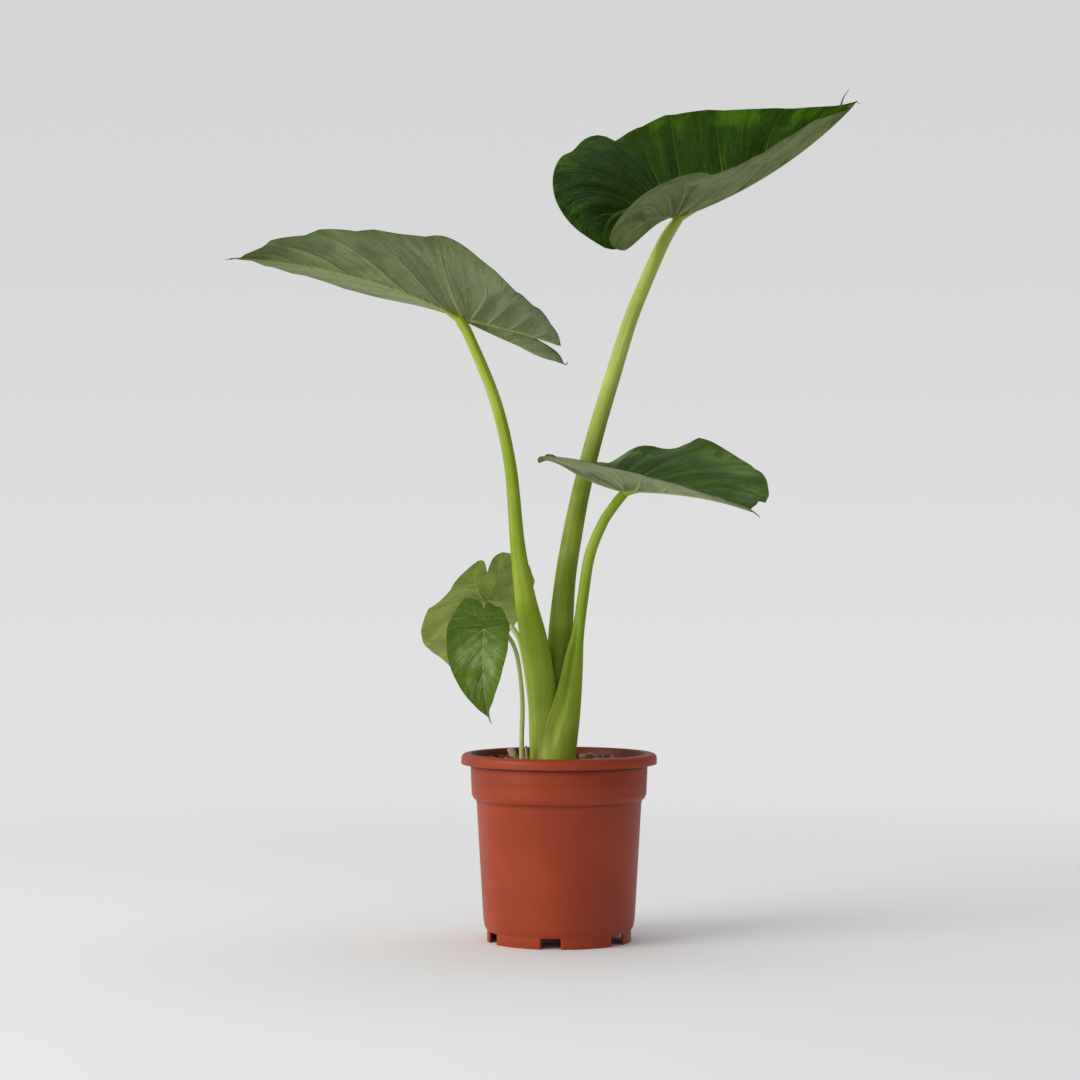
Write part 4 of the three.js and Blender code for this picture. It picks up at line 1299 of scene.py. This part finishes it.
class ALOCASIA_OT_blades(bpy.types.Operator):
    """Builds the five leaf blades"""

    bl_idname = "alocasia.blades"
    bl_label = "Build the leaf blades"

    def execute(self, context):
        settings = context.scene.alocasia_leaf
        skins = self.skins(settings)
        # The threads at the tips are leaf tissue that has dried: brown, dull and finely wrinkled.
        tones = (linear("#8E7B50"), linear("#5E4C2C"))
        dried = mottled_material("Leaf tip, dried", *tones, 2, roughness=0.7, depth=0.05)
        for name, leaf in LEAVES.items():
            bm = blade_mesh(leaf, settings.thickness / MM, settings.puff / MM)
            for thread in TIP_THREADS.get(name, ()):
                tube = add_stem(bm, thread, 6, 14, 2)
                bmesh.ops.recalc_face_normals(bm, faces=tube)
            slot_name = "young_blade" if leaf.young else "leaf_blade"
            finished("leaf_blade_" + name, bm, [*skins[name], dried], slot_name, "blade_" + name)
        return {"FINISHED"}

    @staticmethod
    def skins(settings):
        """The upper side and the underside of each leaf, which differ in age, gloss and paleness."""
        faint = linear("#8FA34A")  # the veins of a grown leaf's upper side
        upper = blade_material(
            "Leaf cuticle, glossy upper side", (settings.upper, settings.upper_painted_glow, faint), 0.05, upper=True
        )
        # This underside gets painted shade on its lobes and a painted sheen on its right half.
        shaded_under = blade_material(
            "Leaf underside, matt and darker on the lobes",
            (settings.under, linear("#5F7243"), settings.vein),
            0.3,
            lobes="#5C6B3C",
            right_half_sheen="#B4C588",
        )
        tall_under = blade_material(
            "Tall leaf underside, matt", (linear("#9CAD68"), linear("#4A5C24"), settings.vein), 0.2, seed=3
        )
        lower_upper = blade_material(
            "Lower leaf cuticle, glossy upper side",
            (linear("#416318"), linear("#83A640"), faint),
            0.1,
            seed=2,
            upper=True,
        )
        lower_under = blade_material(
            "Lower leaf underside, matt",
            (linear("#A9BA80"), linear("#748854"), linear("#BBC97E")),
            0.3,
            seed=2,
        )
        # The young upper side's pale patches are painted highlights, and its dark lobes are painted shade.
        young_upper = blade_material(
            "Young leaf cuticle, glossy upper side",
            (settings.young_upper, linear("#B4C68A"), linear("#B9C48A")),
            0.13,
            seed=5,
            upper=True,
            young=True,
            lobes="#345600",
        )
        young_under = blade_material(
            "Young leaf underside, matt",
            (settings.young_under, linear("#A6BE4A"), linear("#EEF6A6")),
            0.15,
            seed=5,
            young=True,
        )
        return {
            "left": (upper, shaded_under),
            "tall": (upper, tall_under),
            "right": (lower_upper, lower_under),
            "small_front": (young_upper, young_under),
            "small_back": (young_upper, young_under),
        }


class ALOCASIA_OT_stubs(bpy.types.Operator):
    """Builds the two dry stubs of old stalks"""

    bl_idname = "alocasia.stubs"
    bl_label = "Build the dry stubs"

    def execute(self, context):
        # Straw of an old stalk: papery and matt, with fibres that run along it.
        tones = (context.scene.alocasia_pot.straw, linear("#8F7B55"))
        dry = {"roughness": 0.75, "depth": 0.3, "stretch": (1, 1, 0.15)}
        material = mottled_material("Dry leaf stalk, papery", *tones, 2.5, **dry)
        for name, stations in STUBS.items():
            bm = bmesh.new()
            bm.loops.layers.uv.new("UVMap")
            add_stem(bm, stations, 16, 30, 0, lambda angle, z: 0.12 * np.cos(5 * angle + z / 9))
            bmesh.ops.recalc_face_normals(bm, faces=bm.faces)
            finished("dry_stub_" + name, bm, [material], "dry_stalk", "stub_" + name)
        return {"FINISHED"}


class ALOCASIA_OT_corm(bpy.types.Operator):
    """Gives the corm in the soil its skin"""

    bl_idname = "alocasia.corm"
    bl_label = "Finish the corm"

    def execute(self, context):
        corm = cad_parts["corm"]
        # Cork over living tissue: brown, rough and cracked, as nothing but the soil ever touches it.
        tones = (linear("#8A6F4E"), linear("#4E3A26"))
        corm.data.materials.clear()
        corm.data.materials.append(mottled_material("Corm skin, corky", *tones, 7, roughness=0.8, depth=0.8))
        return {"FINISHED"}


class ALOCASIA_OT_stage(bpy.types.Operator):
    """Sets up the floor, the lights and the camera"""

    bl_idname = "alocasia.stage"
    bl_label = "Set up the stage"

    def execute(self, context):
        settings = context.scene.alocasia_stage
        self.floor(settings.floor)
        self.lights(settings.key_power)
        self.world(settings)
        self.camera()
        return {"FINISHED"}

    @staticmethod
    def floor(colour):
        """A wide disc of pale matt paper that fades out, so that it has no edge in any view."""
        bm = bmesh.new()
        bmesh.ops.create_circle(bm, cap_ends=True, segments=96, radius=1.9)
        mesh = bpy.data.meshes.new("Studio floor")
        bm.to_mesh(mesh)
        bm.free()
        material, add = new_material("Studio paper, matt", colour)
        distance = add("VectorMath", (add("TexCoord", output="Object"),), "Value", operation="LENGTH")
        paper = add("BsdfPrincipled", {"Base Color": colour, "Roughness": 0.9, "Specular IOR Level": 0.1})
        faded = (product(add, (distance, 0.55, 1.8)), paper, add("BsdfTransparent"))
        add("OutputMaterial", {"Surface": add("MixShader", faded)})
        mesh.materials.append(material)
        floor = bpy.data.objects.new("studio_floor", mesh)
        bpy.context.scene.collection.objects.link(floor)

    @staticmethod
    def lights(key_power):
        """A big softbox at the left, as the photo's shadows ask for, and a weak one above."""

        def area(name, place, target, size, power, colour):
            data = bpy.data.lights.new(name, "AREA")
            data.shape = "SQUARE"
            data.size = size
            data.energy = power
            data.color = colour
            light = bpy.data.objects.new(name, data)
            light.location = place
            light.rotation_euler = (Vector(target) - Vector(place)).to_track_quat("-Z", "Y").to_euler()
            light.visible_camera = False
            bpy.context.scene.collection.objects.link(light)

        area("Key softbox", (-3.12, -1.95, 1.5), (0, 0, 0.42), 2.6, key_power, (1.0, 0.975, 0.94))
        area("Top softbox", (0.3, 0.6, 2.6), (0, 0, 0.3), 1.8, 0.107 * key_power, (0.96, 0.98, 1.0))

    @staticmethod
    def world(settings):
        """The camera sees the backdrop. The plant gets a soft fill instead, stronger from the left."""
        world = bpy.data.worlds.new("Studio")
        world.use_nodes = True
        world.node_tree.nodes.clear()
        add = partial(add_node, world.node_tree)
        direction = add("TexCoord", output="Generated")
        glow = product(add, (add("SeparateXYZ", (direction,), "Z"), 0.16, -0.09, 0.94, 1.06))
        seen = add("Background", {"Color": settings.backdrop, "Strength": glow})
        side = add("SeparateXYZ", (direction,), "X")
        fill = product(add, (side, -1, 1, 1.4 * settings.fill, 0.6 * settings.fill))
        light = add("Background", {"Color": (0.97, 0.985, 1.0, 1.0), "Strength": fill})
        by_camera = add("LightPath", output="Is Camera Ray")
        add("OutputWorld", {"Surface": add("MixShader", (by_camera, light, seen))})
        bpy.context.scene.world = world

    @staticmethod
    def camera():
        """The photo's viewpoint: level, at leaf height, a 100 mm lens 2.92 m away."""
        data = bpy.data.cameras.new("Camera")
        data.lens = 100
        data.sensor_width = 36
        camera = bpy.data.objects.new("Camera", data)
        camera.location = (-0.0185, -2.916, 0.389)
        camera.rotation_euler = (math.pi / 2, 0, 0)
        scene = bpy.context.scene
        scene.collection.objects.link(camera)
        scene.camera = camera
        scene.view_settings.view_transform = "Standard"


BUILD_ORDER = (
    ALOCASIA_OT_pot,
    ALOCASIA_OT_soil,
    ALOCASIA_OT_corm,
    ALOCASIA_OT_stalks,
    ALOCASIA_OT_blades,
    ALOCASIA_OT_stubs,
    ALOCASIA_OT_stage,
)


class ALOCASIA_PT_panel(bpy.types.Panel):
    """Lists what builds the potted alocasia"""

    bl_idname = "ALOCASIA_PT_panel"
    bl_label = "Potted alocasia"
    bl_space_type = "VIEW_3D"
    bl_region_type = "UI"
    bl_category = "Alocasia"

    def draw(self, context):
        for name in SETTINGS:
            group = getattr(context.scene, name)
            box = self.layout.box()
            for setting in group.__annotations__:
                box.prop(group, setting)
        for operator in BUILD_ORDER:
            self.layout.operator(operator.bl_idname)


SETTINGS = {
    "alocasia_leaf": AlocasiaLeafSettings,
    "alocasia_pot": AlocasiaPotSettings,
    "alocasia_stage": AlocasiaStageSettings,
}


def register():
    for kind in (*SETTINGS.values(), *BUILD_ORDER, ALOCASIA_PT_panel):
        bpy.utils.register_class(kind)
    for name, kind in SETTINGS.items():
        setattr(bpy.types.Scene, name, PointerProperty(type=kind))


def unregister():
    for name in SETTINGS:
        delattr(bpy.types.Scene, name)
    for kind in reversed((*SETTINGS.values(), *BUILD_ORDER, ALOCASIA_PT_panel)):
        bpy.utils.unregister_class(kind)


def main():
    register()
    bpy.ops.alocasia.pot()
    bpy.ops.alocasia.soil()
    bpy.ops.alocasia.corm()
    bpy.ops.alocasia.stalks()
    bpy.ops.alocasia.blades()
    bpy.ops.alocasia.stubs()
    bpy.ops.alocasia.stage()


if __name__ == "__main__":
    main()
